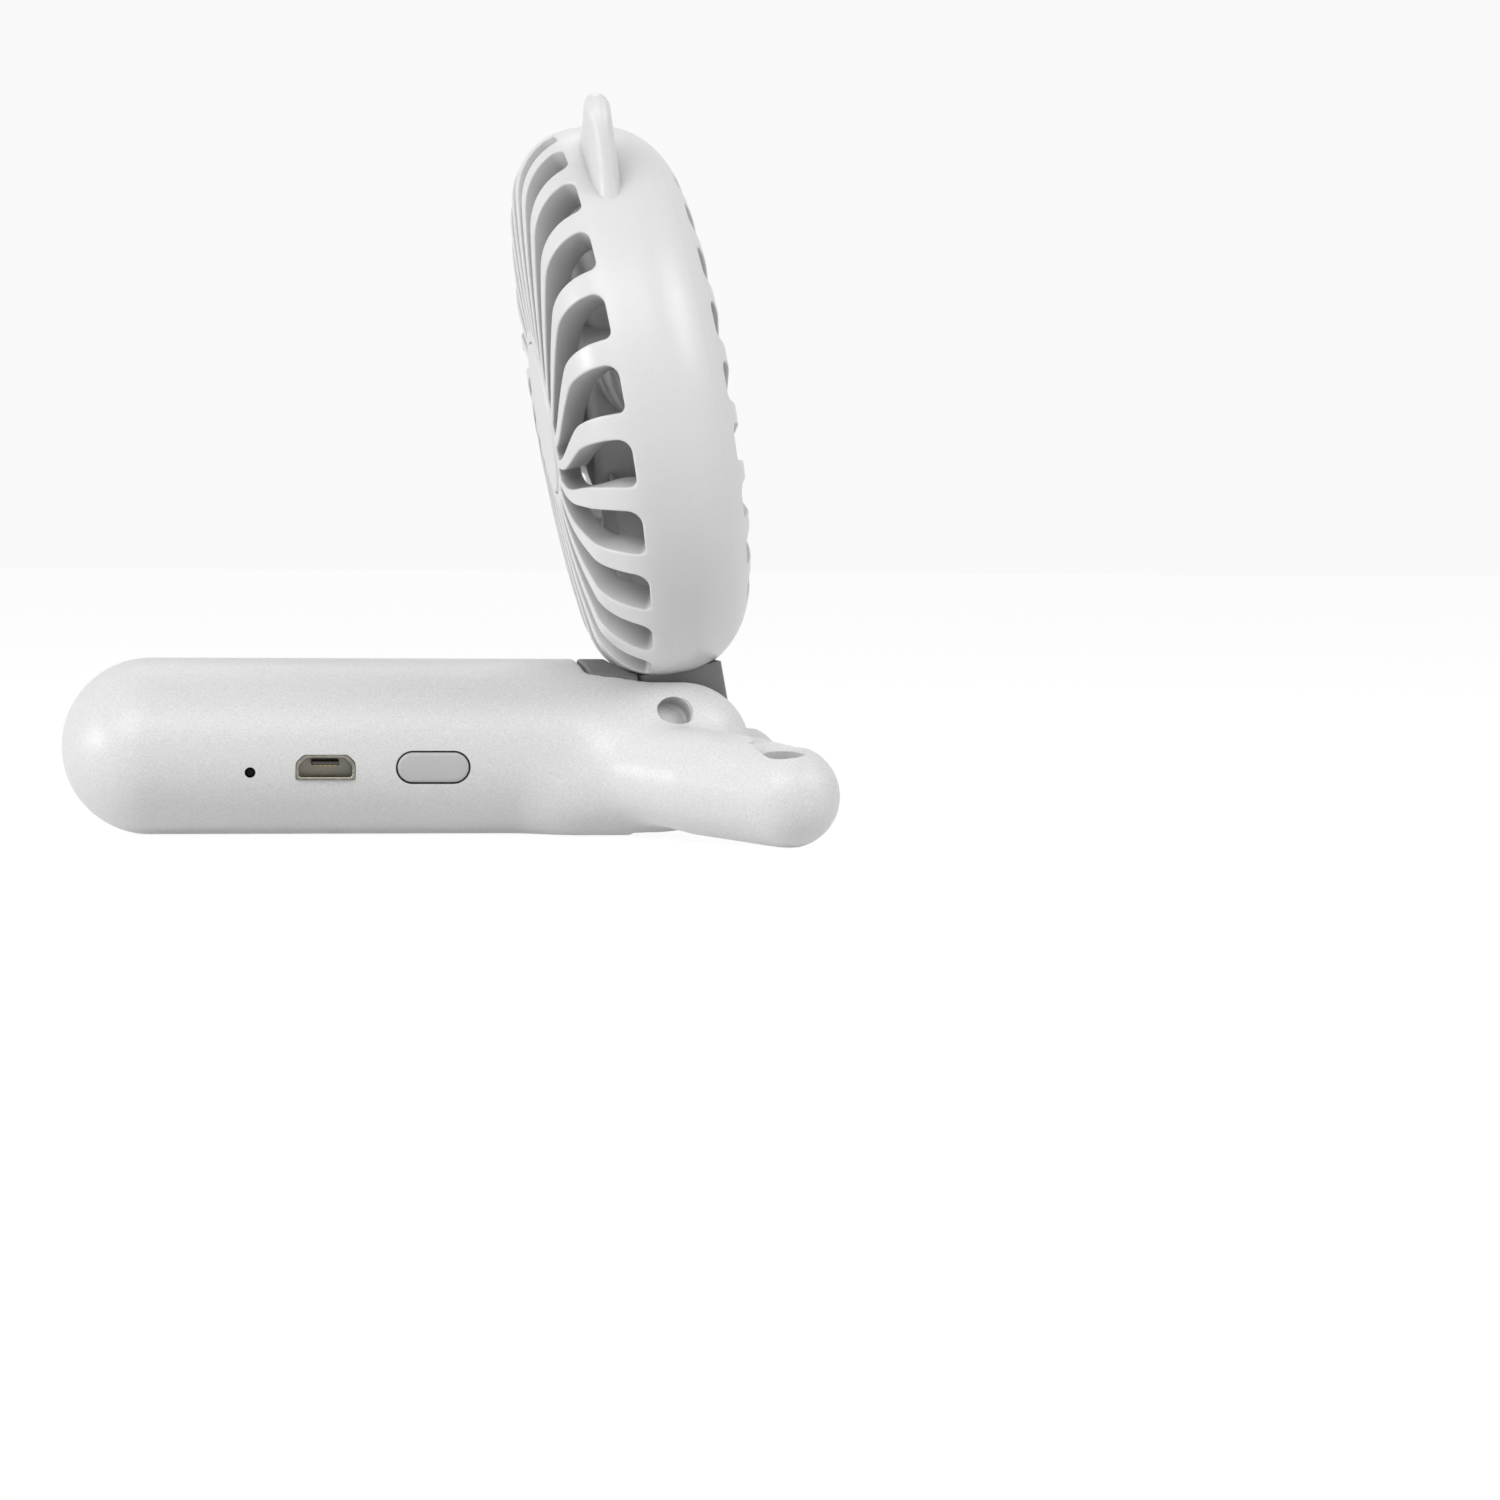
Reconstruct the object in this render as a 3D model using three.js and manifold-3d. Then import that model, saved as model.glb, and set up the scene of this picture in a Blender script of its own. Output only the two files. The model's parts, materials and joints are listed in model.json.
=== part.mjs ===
// A folding handheld fan: a round head with two ears on a forked handle.
// Millimetres, +Z up. The handle lies along X with its tail at -X, and the fold hinge turns about Y.
// The origin is on the flat under the handle, where the fan rests on a desk.

import * as THREE from 'three';
import { mergeVertices } from 'three/addons/utils/BufferGeometryUtils.js';
import Module from 'manifold-3d';

const wasm = await Module();
wasm.setup();

// Fits and facets
const fitGap = 0.25; // between pieces that seat on each other or turn on each other
const seamGap = 0.2; // between the two handle shells
const weld = 0.0001;
const roundSides = 16;
const smallSides = 8;
const headSides = 36;
const handleSides = 24;
const outlineSteps = 6; // facets round the end of a stadium
const arcSteps = 2; // half the facets round a corner of the head
const insideArcSteps = 1;
const cutMargin = 3; // how far a cutter runs past the surface that it cuts

// Handle
const handleHeight = 25;
const handleWall = 1.6;
const tailRoom = 13.1; // from the cell's rear end to the tail
const noseReach = 10.8; // fork arms past the hinge
const noseLength = 12.8; // stretch over which the arms round off
const deskFlat = 0.15; // depth of the flat under the handle and the feet
const referenceToHinge = 46;

// The underside is squarer by the fork: distance ahead of the hinge, added to the oval's power
const squareStations = [
  [-26, 0],
  [-16, 0.9],
  [-6, 0.9],
  [0, 0.5],
];

// Fork and fold hinge
const notchWidth = 18.2;
const notchNarrowing = 1.8; // on each side, at the floor of the notch
const notchTaper = 9.5; // the notch has its full width this far from its floor
const notchReach = 16.3; // from the hinge back to the floor of the notch
const notchBow = 1.1; // the floor of the notch is hollow by this much
const blockFront = 8.4; // front of the grey hinge block, behind the hinge
const blockClearance = 0.4; // from the hinge block to the head
const axleDiameter = 4;
const axleSeatDepth = 2.4;
const washerThickness = 0.5;
const washerDiameter = 9;
const headLean = 10.4; // degrees, back over the handle
const hingeToRim = 10.3;
const headForward = 0.35; // the head's middle stands in front of the hinge

// Legs and feet
const footRadius = 7.1;
const footForward = 10.7;
const footSpread = 28.2;
const legRootRadius = 6;
const legRootBack = 16;
const legRootSpread = 6;
const legRootDrop = 1.8;
const legMiddleRadius = 7.4;
const legMiddleReach = 21; // from the root
const eyeDiameter = 6.3; // lanyard eye down through each foot
const eyeOutward = 1.3;
const eyeBack = 0.7;
const wellDiameter = 5; // round well on each shoulder
const wellDepth = 3.2;
const wellBack = 3.4;
const wellHeight = 5.6;
const wellTilt = 0.2; // how far the well leans forward, as a slope

// Ports on the right side of the handle
const portDrop = 2.2; // below the middle of the handle
const ledBack = 62.6;
const ledDrop = 2.9;
const ledHole = 1.5;
const usbBack = 52.2;
const usbWidth = 7.8;
const usbHeight = 3.1;
const usbDepth = 5.8;
const usbCorner = 1.1;
const usbWall = 0.4;
const usbMouthInset = 0.3;
const usbTongueWidth = 3.8;
const usbTongueThickness = 0.6;
const usbTongueInset = 1;
const buttonBack = 37.3;
const buttonOpeningLength = 10.4;
const buttonOpeningHeight = 4.7;
const buttonProud = 0.15;
const buttonLip = 0.5;
const buttonTravel = 0.6;
const buttonToSwitch = 1; // the switch's plunger stands across this gap

// Battery and circuit board
const cellHeadroom = 3.5; // above and below the cell together
const portRoom = 7.65; // beside the cell, for the socket and the button
const cellSideGap = 0.85; // from the cell to the left wall
const cellLength = 49.8;
const cellFrontBack = 26; // front end of the cell behind the hinge
const cellEdge = 0.8;
const tabThickness = 0.4;
const tabWidth = 7;
const tabHeight = 12;
const boardThickness = 1;
const boardOuterInset = 4.8; // in from the handle's right side
const boardInnerInset = 10.1;
const boardFront = 29.5;
const boardRear = 68.5;
const switchLength = 5.2;
const switchHeight = 3.1;
const switchOuterInset = 5.4;
const switchInnerInset = 8.8;
const plungerDiameter = 2.2;
const ledBodyLength = 1.6;
const ledBodyDepth = 2;
const ledBodyHeight = 1.6;
const ribThickness = 1.2;
const ribPlaces = [30.6, 66.5]; // behind the hinge

// Case screws
const tailScrewInset = 5.4; // from the tail
const forkScrewBack = 21.2;
const forkScrewLift = 6;
const bossDiameter = 4.8;
const screwDiameter = 1.7;
const screwHeadDiameter = 3.8;
const screwHeadHeight = 1.4;
const screwHeadEdge = 0.8; // height of a screw head's rim
const screwHeadTop = 2.7; // flat on top of a screw head, across
const caseSeat = 3; // screw head seat, from the seam
const casePilotDepth = 6;

// Head
const headRadius = 39.6;
const headThickness = 23.7;
const frontCorner = 9.4;
const frontCrown = 1.2; // rise of the front face from its corner to the hub
const rearCorner = 11.1;
const headWall = 2.2;
const rearSeam = 3.6; // seam of the rear grille, in from the rear face
const spigotInset = 8.2; // from the head's rim
const spigotWall = 1.4;
const spigotReach = 2.6;

// Grilles
const slotCount = 24;
const slotTurn = 2.4; // degrees from the near side to the middle of the first slot
const slotShareRim = 0.65; // share of the pitch that is open
const slotShareHub = 0.58;
const swirlInset = 2.1; // from the rim to where the bars start to swing
const swirlRate = 0.186; // degrees per millimetre inward from there
const swirlGrowth = 0.0367; // degrees per square millimetre
const slotInner = 13;
const slotSteps = 4; // facets along a side of a slot
const rearSlotSteps = 3;
const frontSlotReach = 7.7; // how far the slots come round onto the band
const rearSlotInset = 4.3; // from the rim to the outer end of a rear slot
const slotEndRound = 1.7;
const slotTail = 0.5; // the pointed inner end runs on by this share of the slot's width there

// Hubs, motor and impeller
const capRadius = 10.75;
const capThickness = 1;
const capProud = 0.3;
const hubRadius = 12.3;
const frontHubDepth = 3;
const rearHubDepth = 3;
const motorRadius = 8.9;
const bellThickness = 1.6;
const motorLength = 9;
const motorEdge = 1;
const motorCupWall = 1.2;
const motorCupReach = 4.5;
const motorScrewSpread = 5;
const motorScrewLength = 4;
const bushRadius = 2.6;
const bushLength = 3.2;
const shaftDiameter = 2;
const shaftTip = 5.9; // in front of the head's mid-plane
const impellerHubRadius = 12;
const impellerHubWall = 1.2;
const impellerHubFront = 6.5;
const impellerHubRear = -2.5;
const impellerPlate = 1.6;
const impellerBossRadius = 2.8;
const impellerBossRear = 2.2;
const bladeCount = 5;
const bladeClearance = 3.1; // from a blade's tip to the inside of the band
const bladeMiddle = 1.3;
const bladeThickness = 1.3;
const bladeRootChord = 11;
const bladeTipChord = 18;
const bladeRootPitch = 38;
const bladeTipPitch = 22;
const bladeCamber = 0.9;
const bladeTipRound = 0.6; // how much of the chord's growth the round tip takes back
const bladeTipRoundPower = 6;

// Round a blade's section: share of the chord from its middle, and face
const bladeSection = [
  [-0.5, 0], [-0.25, -1], [0, -1], [0.25, -1], [0.5, 0], [0.25, 1], [0, 1], [-0.25, 1],
];

// Ears
const earThickness = 3.7;
const earForward = -0.6;
const earAngle = 33.8; // degrees from the top of the head
const earBaseAngle = 29; // degrees of the rim that an ear takes
const earReach = 10; // past the rim
const earTipWidth = 7;
const earRound = 1.2;
const earCurveSteps = 3;

// Neck
const neckThickness = 12;
const tongueWidth = 8;
const tongueThickness = 6.4;
const tongueReach = 1.5; // past the inside of the band
const neckScrewSpread = 6.2;
const neckScrewLength = 7;
const neckScrewLift = 0.4; // the flat head stands this far off the round inside of the band

// Worked out from the sizes above
const halfHeight = handleHeight / 2;
const cellDiameter = handleHeight - 2 * handleWall - cellHeadroom;
const handleWidth = cellDiameter + 2 * handleWall + cellSideGap + portRoom;
const halfWidth = handleWidth / 2;
const tailToHinge = cellFrontBack + cellLength + tailRoom;
const hingeToHead = headRadius + hingeToRim;
const tailCentre = -tailToHinge + halfHeight;
const noseCentre = noseReach - noseLength;
const footDrop = halfHeight - footRadius;
const cavityFront = -notchReach - handleWall;
const cellOffset = halfWidth - handleWall - cellSideGap - cellDiameter / 2; // towards the left shell
const boardOuterEdge = halfWidth - boardOuterInset;
const boardInnerEdge = halfWidth - boardInnerInset;
const switchOuterEdge = halfWidth - switchOuterInset;
const switchInnerEdge = halfWidth - switchInnerInset;
const neckHalf = notchWidth / 2 - washerThickness - 2 * fitGap;
const headFront = headThickness / 2;
const boardTop = -portDrop - usbHeight / 2 - fitGap;
const rearSeamLevel = -headFront + rearSeam;
const motorRear = -headFront + rearHubDepth + fitGap;
const motorFront = motorRear + motorLength;
const slotPitch = (2 * Math.PI) / slotCount;
const spigotRadius = headRadius - spigotInset;
const swirlStart = headRadius - swirlInset;
const rearSlotEnd = headRadius - rearSlotInset;
const bladeTip = headRadius - headWall - bladeClearance;
const earTipRadius = headRadius + earReach;

// Name, distance behind the hinge, height above the middle of the handle
const caseScrews = [
  ['case_screw_tail', tailToHinge - tailScrewInset, 0],
  ['case_screw_top', forkScrewBack, forkScrewLift],
  ['case_screw_bottom', forkScrewBack, -forkScrewLift],
];

const radians = THREE.MathUtils.degToRad;

function finish(color, roughness, metalness = 0) {
  return new THREE.MeshStandardMaterial({ color, roughness, metalness });
}

// Solids, joins and cuts

function solid(geometry) {
  const bare = geometry.clone();
  bare.deleteAttribute('normal');
  bare.deleteAttribute('uv');
  const merged = mergeVertices(bare, weld);
  const corners = merged.index.array;
  const faces = [];
  for (let i = 0; i < corners.length; i += 3) {
    const [a, b, c] = [corners[i], corners[i + 1], corners[i + 2]];
    if (a !== b && b !== c && c !== a) {
      faces.push(a, b, c);
    }
  }
  return new wasm.Manifold(new wasm.Mesh({
    numProp: 3,
    vertProperties: Float32Array.from(merged.attributes.position.array),
    triVerts: Uint32Array.from(faces),
  }));
}

function geometryOf(body) {
  const mesh = body.getMesh();
  const geometry = new THREE.BufferGeometry();
  geometry.setAttribute('position', new THREE.BufferAttribute(mesh.vertProperties, 3));
  geometry.setIndex(new THREE.BufferAttribute(mesh.triVerts, 1));
  geometry.computeVertexNormals();
  return geometry;
}

function join(bodies) {
  return bodies.reduce((whole, body) => whole.add(body));
}

function cut(body, cutters) {
  return cutters.reduce((left, cutter) => left.subtract(cutter), body);
}

function box(x0, x1, y0, y1, z0, z1) {
  const shape = new THREE.BoxGeometry(x1 - x0, y1 - y0, z1 - z0);
  return solid(shape.translate((x0 + x1) / 2, (y0 + y1) / 2, (z0 + z1) / 2));
}

// A revolve about Z of [radius, height] points, rising on the outside.
function revolve(points, sides) {
  const profile = points.map(([radius, height]) => new THREE.Vector2(radius, height));
  return solid(new THREE.LatheGeometry(profile, sides).rotateX(Math.PI / 2));
}

function disc(radius, z0, z1, sides = roundSides) {
  return revolve([[0, z0], [radius, z0], [radius, z1], [0, z1]], sides);
}

function ring(inner, outer, z0, z1, sides = roundSides) {
  return revolve([[inner, z0], [outer, z0], [outer, z1], [inner, z1], [inner, z0]], sides);
}

// A round bar along Y.
function barY(radius, x, z, y0, y1, sides = smallSides) {
  const shape = new THREE.CylinderGeometry(radius, radius, y1 - y0, sides);
  return solid(shape.translate(x, (y0 + y1) / 2, z));
}

// A closed skin through rings of points that run anticlockwise seen from the last ring's side.
function loft(rings) {
  const count = rings[0].length;
  const positions = rings.flat().flatMap((point) => [point.x, point.y, point.z]);
  const index = [];
  for (let i = 0; i < rings.length - 1; i += 1) {
    for (let j = 0; j < count; j += 1) {
      const a = i * count + j;
      const b = i * count + ((j + 1) % count);
      index.push(a, b, b + count, a, b + count, a + count);
    }
  }
  const last = (rings.length - 1) * count;
  for (let j = 1; j < count - 1; j += 1) {
    index.push(0, j + 1, j);
    index.push(last, last + j, last + j + 1);
  }
  const geometry = new THREE.BufferGeometry();
  geometry.setAttribute('position', new THREE.Float32BufferAttribute(positions, 3));
  geometry.setIndex(index);
  return solid(geometry);
}

function stadium(length, height) {
  const radius = height / 2;
  const reach = length / 2 - radius;
  const shape = new THREE.Shape();
  shape.absarc(reach, 0, radius, -Math.PI / 2, Math.PI / 2);
  shape.absarc(-reach, 0, radius, Math.PI / 2, (3 * Math.PI) / 2);
  return shape;
}

// An outline in X and Z pushed along Y from y0 to y1.
function pushY(shape, x, z, y0, y1) {
  const prism = new THREE.ExtrudeGeometry(shape, { depth: y1 - y0, bevelEnabled: false, curveSegments: outlineSteps });
  return solid(prism.rotateX(Math.PI / 2).translate(x, y1, z));
}

// Handle

// What the underside adds to the oval's power of 2 at a place along the handle.
function squareness(x) {
  let [from, low] = squareStations[0];
  for (const [to, high] of squareStations) {
    if (x < to) {
      return low + (high - low) * Math.max(0, (x - from) / (to - from));
    }
    [from, low] = [to, high];
  }
  return low;
}

// The handle's oval body, grown or shrunk all round; both ends are round.
function handleOval(grow) {
  const tailRadius = halfHeight + grow;
  const nose = noseLength + grow;
  const endSteps = 6;
  const stations = [];
  for (let k = 0; k <= endSteps; k += 1) {
    const angle = (k / endSteps) * (Math.PI / 2);
    stations.push([tailCentre - tailRadius * Math.cos(angle), Math.sin(angle)]);
  }
  for (const [x] of squareStations.filter(([ahead]) => ahead < noseCentre)) {
    stations.push([x, 1]);
  }
  for (let k = endSteps; k >= 0; k -= 1) {
    const angle = (k / endSteps) * (Math.PI / 2);
    stations.push([noseCentre + nose * Math.cos(angle), Math.sin(angle)]);
  }
  const rings = stations.map(([x, share]) => {
    const points = [];
    for (let j = 0; j < handleSides; j += 1) {
      const turn = (j / handleSides) * 2 * Math.PI;
      const power = j > handleSides / 2 ? 2 / (2 + squareness(x)) : 1;
      const y = (halfWidth + grow) * share * Math.sign(Math.cos(turn)) * Math.abs(Math.cos(turn)) ** power;
      const z = (halfHeight + grow) * share * Math.sign(Math.sin(turn)) * Math.abs(Math.sin(turn)) ** power;
      points.push(new THREE.Vector3(x, y, z));
    }
    return points;
  });
  return loft(rings);
}

// The notch between the fork arms, with a hollow floor, right through from top to bottom.
function forkNotch(inset = 0) {
  const half = notchWidth / 2 - inset;
  const narrow = half - notchNarrowing;
  const shape = new THREE.Shape();
  const floor = -notchReach + inset;
  shape.moveTo(floor + notchBow, narrow);
  shape.quadraticCurveTo(floor - notchBow, 0, floor + notchBow, -narrow);
  shape.lineTo(notchTaper - notchReach, -half);
  shape.lineTo(tailToHinge, -half);
  shape.lineTo(tailToHinge, half);
  shape.lineTo(notchTaper - notchReach, half);
  const options = { depth: 2 * handleHeight, bevelEnabled: false, curveSegments: outlineSteps };
  return solid(new THREE.ExtrudeGeometry(shape, options).translate(0, 0, -handleHeight));
}

// One leg: a tapered finger that ends in a ball. Side is -1 on the right and 1 on the left.
function leg(side) {
  const root = new THREE.Vector3(-legRootBack, side * legRootSpread, -legRootDrop);
  const ball = new THREE.Vector3(footForward, side * footSpread, -footDrop);
  const along = ball.clone().sub(root);
  const length = along.length();
  const profile = [[0, 0], [legRootRadius, 0], [legMiddleRadius, legMiddleReach]];
  const capSteps = 5;
  for (let k = 0; k <= capSteps; k += 1) {
    const angle = (k / capSteps) * (Math.PI / 2);
    profile.push([footRadius * Math.cos(angle), length + footRadius * Math.sin(angle)]);
  }
  const points = profile.map(([radius, height]) => new THREE.Vector2(radius, height));
  const finger = new THREE.LatheGeometry(points, roundSides);
  const turn = new THREE.Quaternion().setFromUnitVectors(new THREE.Vector3(0, 1, 0), along.normalize());
  return solid(finger.applyQuaternion(turn).translate(root.x, root.y, root.z));
}

// The well on a shoulder, square to the oval there.
function shoulderWell(side) {
  const noseShare = (noseCentre + wellBack) / noseLength;
  const share = Math.sqrt(1 - Math.max(0, -noseShare) ** 2);
  const y = side * halfWidth * share * Math.sqrt(1 - (wellHeight / (halfHeight * share)) ** 2);
  const outward = new THREE.Vector3(0, y / halfWidth ** 2, wellHeight / halfHeight ** 2).normalize();
  outward.x = wellTilt;
  outward.normalize();
  const drill = new THREE.CylinderGeometry(wellDiameter / 2, wellDiameter / 2, wellDepth + cutMargin, roundSides);
  drill.translate(0, (cutMargin - wellDepth) / 2, 0);
  const turn = new THREE.Quaternion().setFromUnitVectors(new THREE.Vector3(0, 1, 0), outward);
  return solid(drill.applyQuaternion(turn).translate(-wellBack, y, wellHeight));
}

function lanyardEye(side) {
  const eye = disc(eyeDiameter / 2, -handleHeight, handleHeight);
  return eye.translate(footForward - eyeBack, side * (footSpread + eyeOutward), 0);
}

const far = 2 * tailToHinge;
const oval = handleOval(0);
const underDesk = box(-far, far, -far, far, -far, -halfHeight + deskFlat);
const notch = forkNotch();
const handleForm = cut(join([oval, leg(-1), leg(1)]), [
  underDesk,
  notch,
  ...[-1, 1].flatMap((side) => [shoulderWell(side), lanyardEye(side)]),
]);
const cavity = handleOval(-handleWall).subtract(box(cavityFront, far, -far, far, -far, far));

function cellSpace(gap) {
  const radius = cellDiameter / 2 + gap;
  const shape = new THREE.CylinderGeometry(radius, radius, cellLength + 2 * gap, roundSides * 2);
  const middle = -cellFrontBack - cellLength / 2;
  return solid(shape.rotateZ(Math.PI / 2).translate(middle, cellOffset, 0));
}

function boardSpace(gap) {
  return box(
    -boardRear - gap, -boardFront + gap,
    -boardOuterEdge - gap, -boardInnerEdge + gap,
    boardTop - boardThickness - gap, boardTop + gap,
  );
}

// One half of the handle. The bosses and cradle ribs grow from the inside of its wall.
function handleShell(side, holes) {
  const otherHalf = side < 0
    ? box(-far, far, -seamGap / 2, far, -far, far)
    : box(-far, far, -far, seamGap / 2, -far, far);
  const ribs = ribPlaces.map((back) => {
    const plate = box(-back - ribThickness / 2, -back + ribThickness / 2, -far, far, -far, far);
    return cut(plate.intersect(handleOval(-handleWall / 2)), [cellSpace(fitGap), boardSpace(fitGap)]);
  });
  const bosses = caseScrews.map(([, back, height]) => {
    const post = barY(bossDiameter / 2, -back, height, -halfWidth, halfWidth);
    return post.intersect(handleOval(-handleWall / 2));
  });
  const body = join([handleForm.subtract(cavity), ...ribs, ...bosses]);
  return cut(body, [otherHalf, axleSeats(), ...holes]);
}

function axleSeats() {
  const reach = notchWidth / 2 + axleSeatDepth + fitGap;
  return barY(axleDiameter / 2 + fitGap / 2, 0, 0, -reach, reach, roundSides);
}

function usbOutline(width, height) {
  const shape = new THREE.Shape();
  shape.moveTo(-width / 2, -height / 2);
  shape.lineTo(width / 2, -height / 2);
  shape.lineTo(width / 2, height / 2 - usbCorner);
  shape.lineTo(width / 2 - usbCorner, height / 2);
  shape.lineTo(-width / 2 + usbCorner, height / 2);
  shape.lineTo(-width / 2, height / 2 - usbCorner);
  shape.closePath();
  return shape;
}

// Distance from the seam plane to the handle's outside at a height.
function sideAt(height) {
  return halfWidth * Math.sqrt(1 - (height / halfHeight) ** 2);
}

const usbMouth = -sideAt(-portDrop) + usbMouthInset;
const outside = -halfWidth - cutMargin;
const inside = -halfWidth + cutMargin + 2 * handleWall;

const rightHoles = [
  barY(ledHole / 2, -ledBack, -ledDrop, outside, inside),
  pushY(usbOutline(usbWidth + 2 * fitGap, usbHeight + 2 * fitGap), -usbBack, -portDrop, outside, inside),
  pushY(stadium(buttonOpeningLength, buttonOpeningHeight), -buttonBack, -portDrop, outside, inside),
  ...caseScrews.map(([, back, height]) => (
    barY(screwDiameter / 2 + fitGap, -back, height, -casePilotDepth, 0)
  )),
];
const leftHoles = caseScrews.flatMap(([, back, height]) => [
  barY(screwHeadDiameter / 2 + fitGap, -back, height, caseSeat, halfWidth + cutMargin),
  barY(screwDiameter / 2 + fitGap, -back, height, 0, caseSeat + cutMargin),
]);

const usbShell = pushY(usbOutline(usbWidth, usbHeight), -usbBack, -portDrop, usbMouth, usbMouth + usbDepth)
  .subtract(pushY(
    usbOutline(usbWidth - 2 * usbWall, usbHeight - 2 * usbWall),
    -usbBack, -portDrop, usbMouth - cutMargin, usbMouth + usbDepth - usbWall,
  ));
const usbTongue = box(
  -usbBack - usbTongueWidth / 2, -usbBack + usbTongueWidth / 2,
  usbMouth + usbTongueInset, usbMouth + usbDepth - usbWall - fitGap,
  -portDrop + fitGap, -portDrop + fitGap + usbTongueThickness,
);

// The button: a cap that follows the handle's side, with a lip that keeps it in.
const buttonBackFace = -switchOuterEdge - buttonToSwitch - buttonTravel;
const buttonCap = pushY(
  stadium(buttonOpeningLength - 2 * fitGap, buttonOpeningHeight - 2 * fitGap),
  -buttonBack, -portDrop, outside, buttonBackFace,
).intersect(handleOval(buttonProud));
const buttonFlange = pushY(
  stadium(buttonOpeningLength + 2 * buttonLip, buttonOpeningHeight + 2 * buttonLip),
  -buttonBack, -portDrop, outside, buttonBackFace,
).intersect(handleOval(-handleWall - fitGap));
const powerButton = buttonCap.add(buttonFlange);

const switchBase = boardTop + fitGap / 2;
const powerSwitch = box(
  -buttonBack - switchLength / 2, -buttonBack + switchLength / 2,
  -switchOuterEdge, -switchInnerEdge,
  switchBase, switchBase + switchHeight,
).add(barY(
  plungerDiameter / 2, -buttonBack, -portDrop,
  buttonBackFace + buttonTravel + fitGap / 2, -switchOuterEdge + fitGap,
));
const chargeLed = box(
  -ledBack - ledBodyLength / 2, -ledBack + ledBodyLength / 2,
  -boardOuterEdge, -boardOuterEdge + ledBodyDepth,
  switchBase, switchBase + ledBodyHeight,
).add(barY(
  ledHole / 2 - fitGap, -ledBack, -ledDrop,
  -sideAt(-ledDrop) + handleWall / 2, -boardOuterEdge + fitGap,
));

function batteryCell() {
  const radius = cellDiameter / 2;
  const profile = [
    [0, 0], [radius - cellEdge, 0], [radius, cellEdge], [radius, cellLength - cellEdge],
    [radius - cellEdge, cellLength], [0, cellLength],
  ];
  const rolled = revolve(profile, roundSides * 2).rotate([0, 90, 0]);
  return rolled.translate(-cellFrontBack - cellLength, cellOffset, 0);
}

function batteryTab(x) {
  return box(x, x + tabThickness, cellOffset - tabWidth / 2, cellOffset + tabWidth / 2, -tabHeight / 2, tabHeight / 2);
}

// A pan-head screw standing on Z: the head sits on z = 0 and the shank goes down.
function screw(length) {
  const shank = screwDiameter / 2;
  const head = screwHeadDiameter / 2;
  return revolve([
    [0, -length], [shank / 2, -length], [shank, -length + shank], [shank, 0], [head, 0],
    [head, screwHeadEdge], [screwHeadTop / 2, screwHeadHeight], [0, screwHeadHeight],
  ], smallSides);
}

function axle() {
  const reach = notchWidth / 2 + axleSeatDepth;
  return barY(axleDiameter / 2, 0, 0, -reach, reach, roundSides);
}

function washer(side) {
  const middle = side * (notchWidth / 2 - fitGap - washerThickness / 2);
  const flat = ring(axleDiameter / 2 + fitGap, washerDiameter / 2, -washerThickness / 2, washerThickness / 2);
  return flat.rotate([90, 0, 0]).translate(0, middle, 0);
}

// Head. Its pieces are made with the front face towards +Z and the ears towards +Y.

// The head's outside, or an offset of it, as a solid of revolution.
function headSolid(grow, steps = arcSteps) {
  const outline = new THREE.Path();
  outline.moveTo(0, -headFront - grow);
  outline.lineTo(headRadius - rearCorner, -headFront - grow);
  outline.absarc(headRadius - rearCorner, -headFront + rearCorner, rearCorner + grow, -Math.PI / 2, 0);
  const cornerTop = headFront - frontCrown;
  outline.absarc(headRadius - frontCorner, cornerTop - frontCorner, frontCorner + grow, 0, Math.PI / 2);
  const crownMiddle = (headRadius - frontCorner + hubRadius) / 2;
  outline.quadraticCurveTo(crownMiddle, headFront + grow, hubRadius, headFront + grow);
  outline.lineTo(0, headFront + grow);
  return revolve(outline.getPoints(steps).map((point) => [point.x, point.y]), headSides);
}

function polar(radius, angle) {
  return new THREE.Vector2(radius * Math.cos(angle), radius * Math.sin(angle));
}

// How far a slot has swung at a radius, clockwise seen from the front.
function swirlAt(radius) {
  const inward = swirlStart - radius;
  return radians(-inward * (swirlRate + swirlGrowth * inward));
}

// One grille slot, straight at the rim and swinging more and more towards the hub.
function slotOutline(steps, outer) {
  const swirled = Math.min(swirlStart, outer);
  const left = [];
  const right = [];
  for (let k = 0; k <= steps; k += 1) {
    const radius = slotInner + (swirled - slotInner) * (k / steps);
    const swing = swirlAt(radius);
    const outward = (radius - slotInner) / (swirlStart - slotInner);
    const share = slotShareHub + (slotShareRim - slotShareHub) * outward;
    left.push(polar(radius, swing + (slotPitch * share) / 2));
    right.push(polar(radius, swing - (slotPitch * share) / 2));
  }
  if (outer > swirled) {
    left.push(polar(outer, (slotPitch * slotShareRim) / 2));
    right.push(polar(outer, (-slotPitch * slotShareRim) / 2));
  }
  const innerEnd = polar(slotInner - slotPitch * slotInner * slotShareHub * slotTail, swirlAt(slotInner));
  return new THREE.Shape([innerEnd, ...right, ...left.reverse()]);
}

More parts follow.
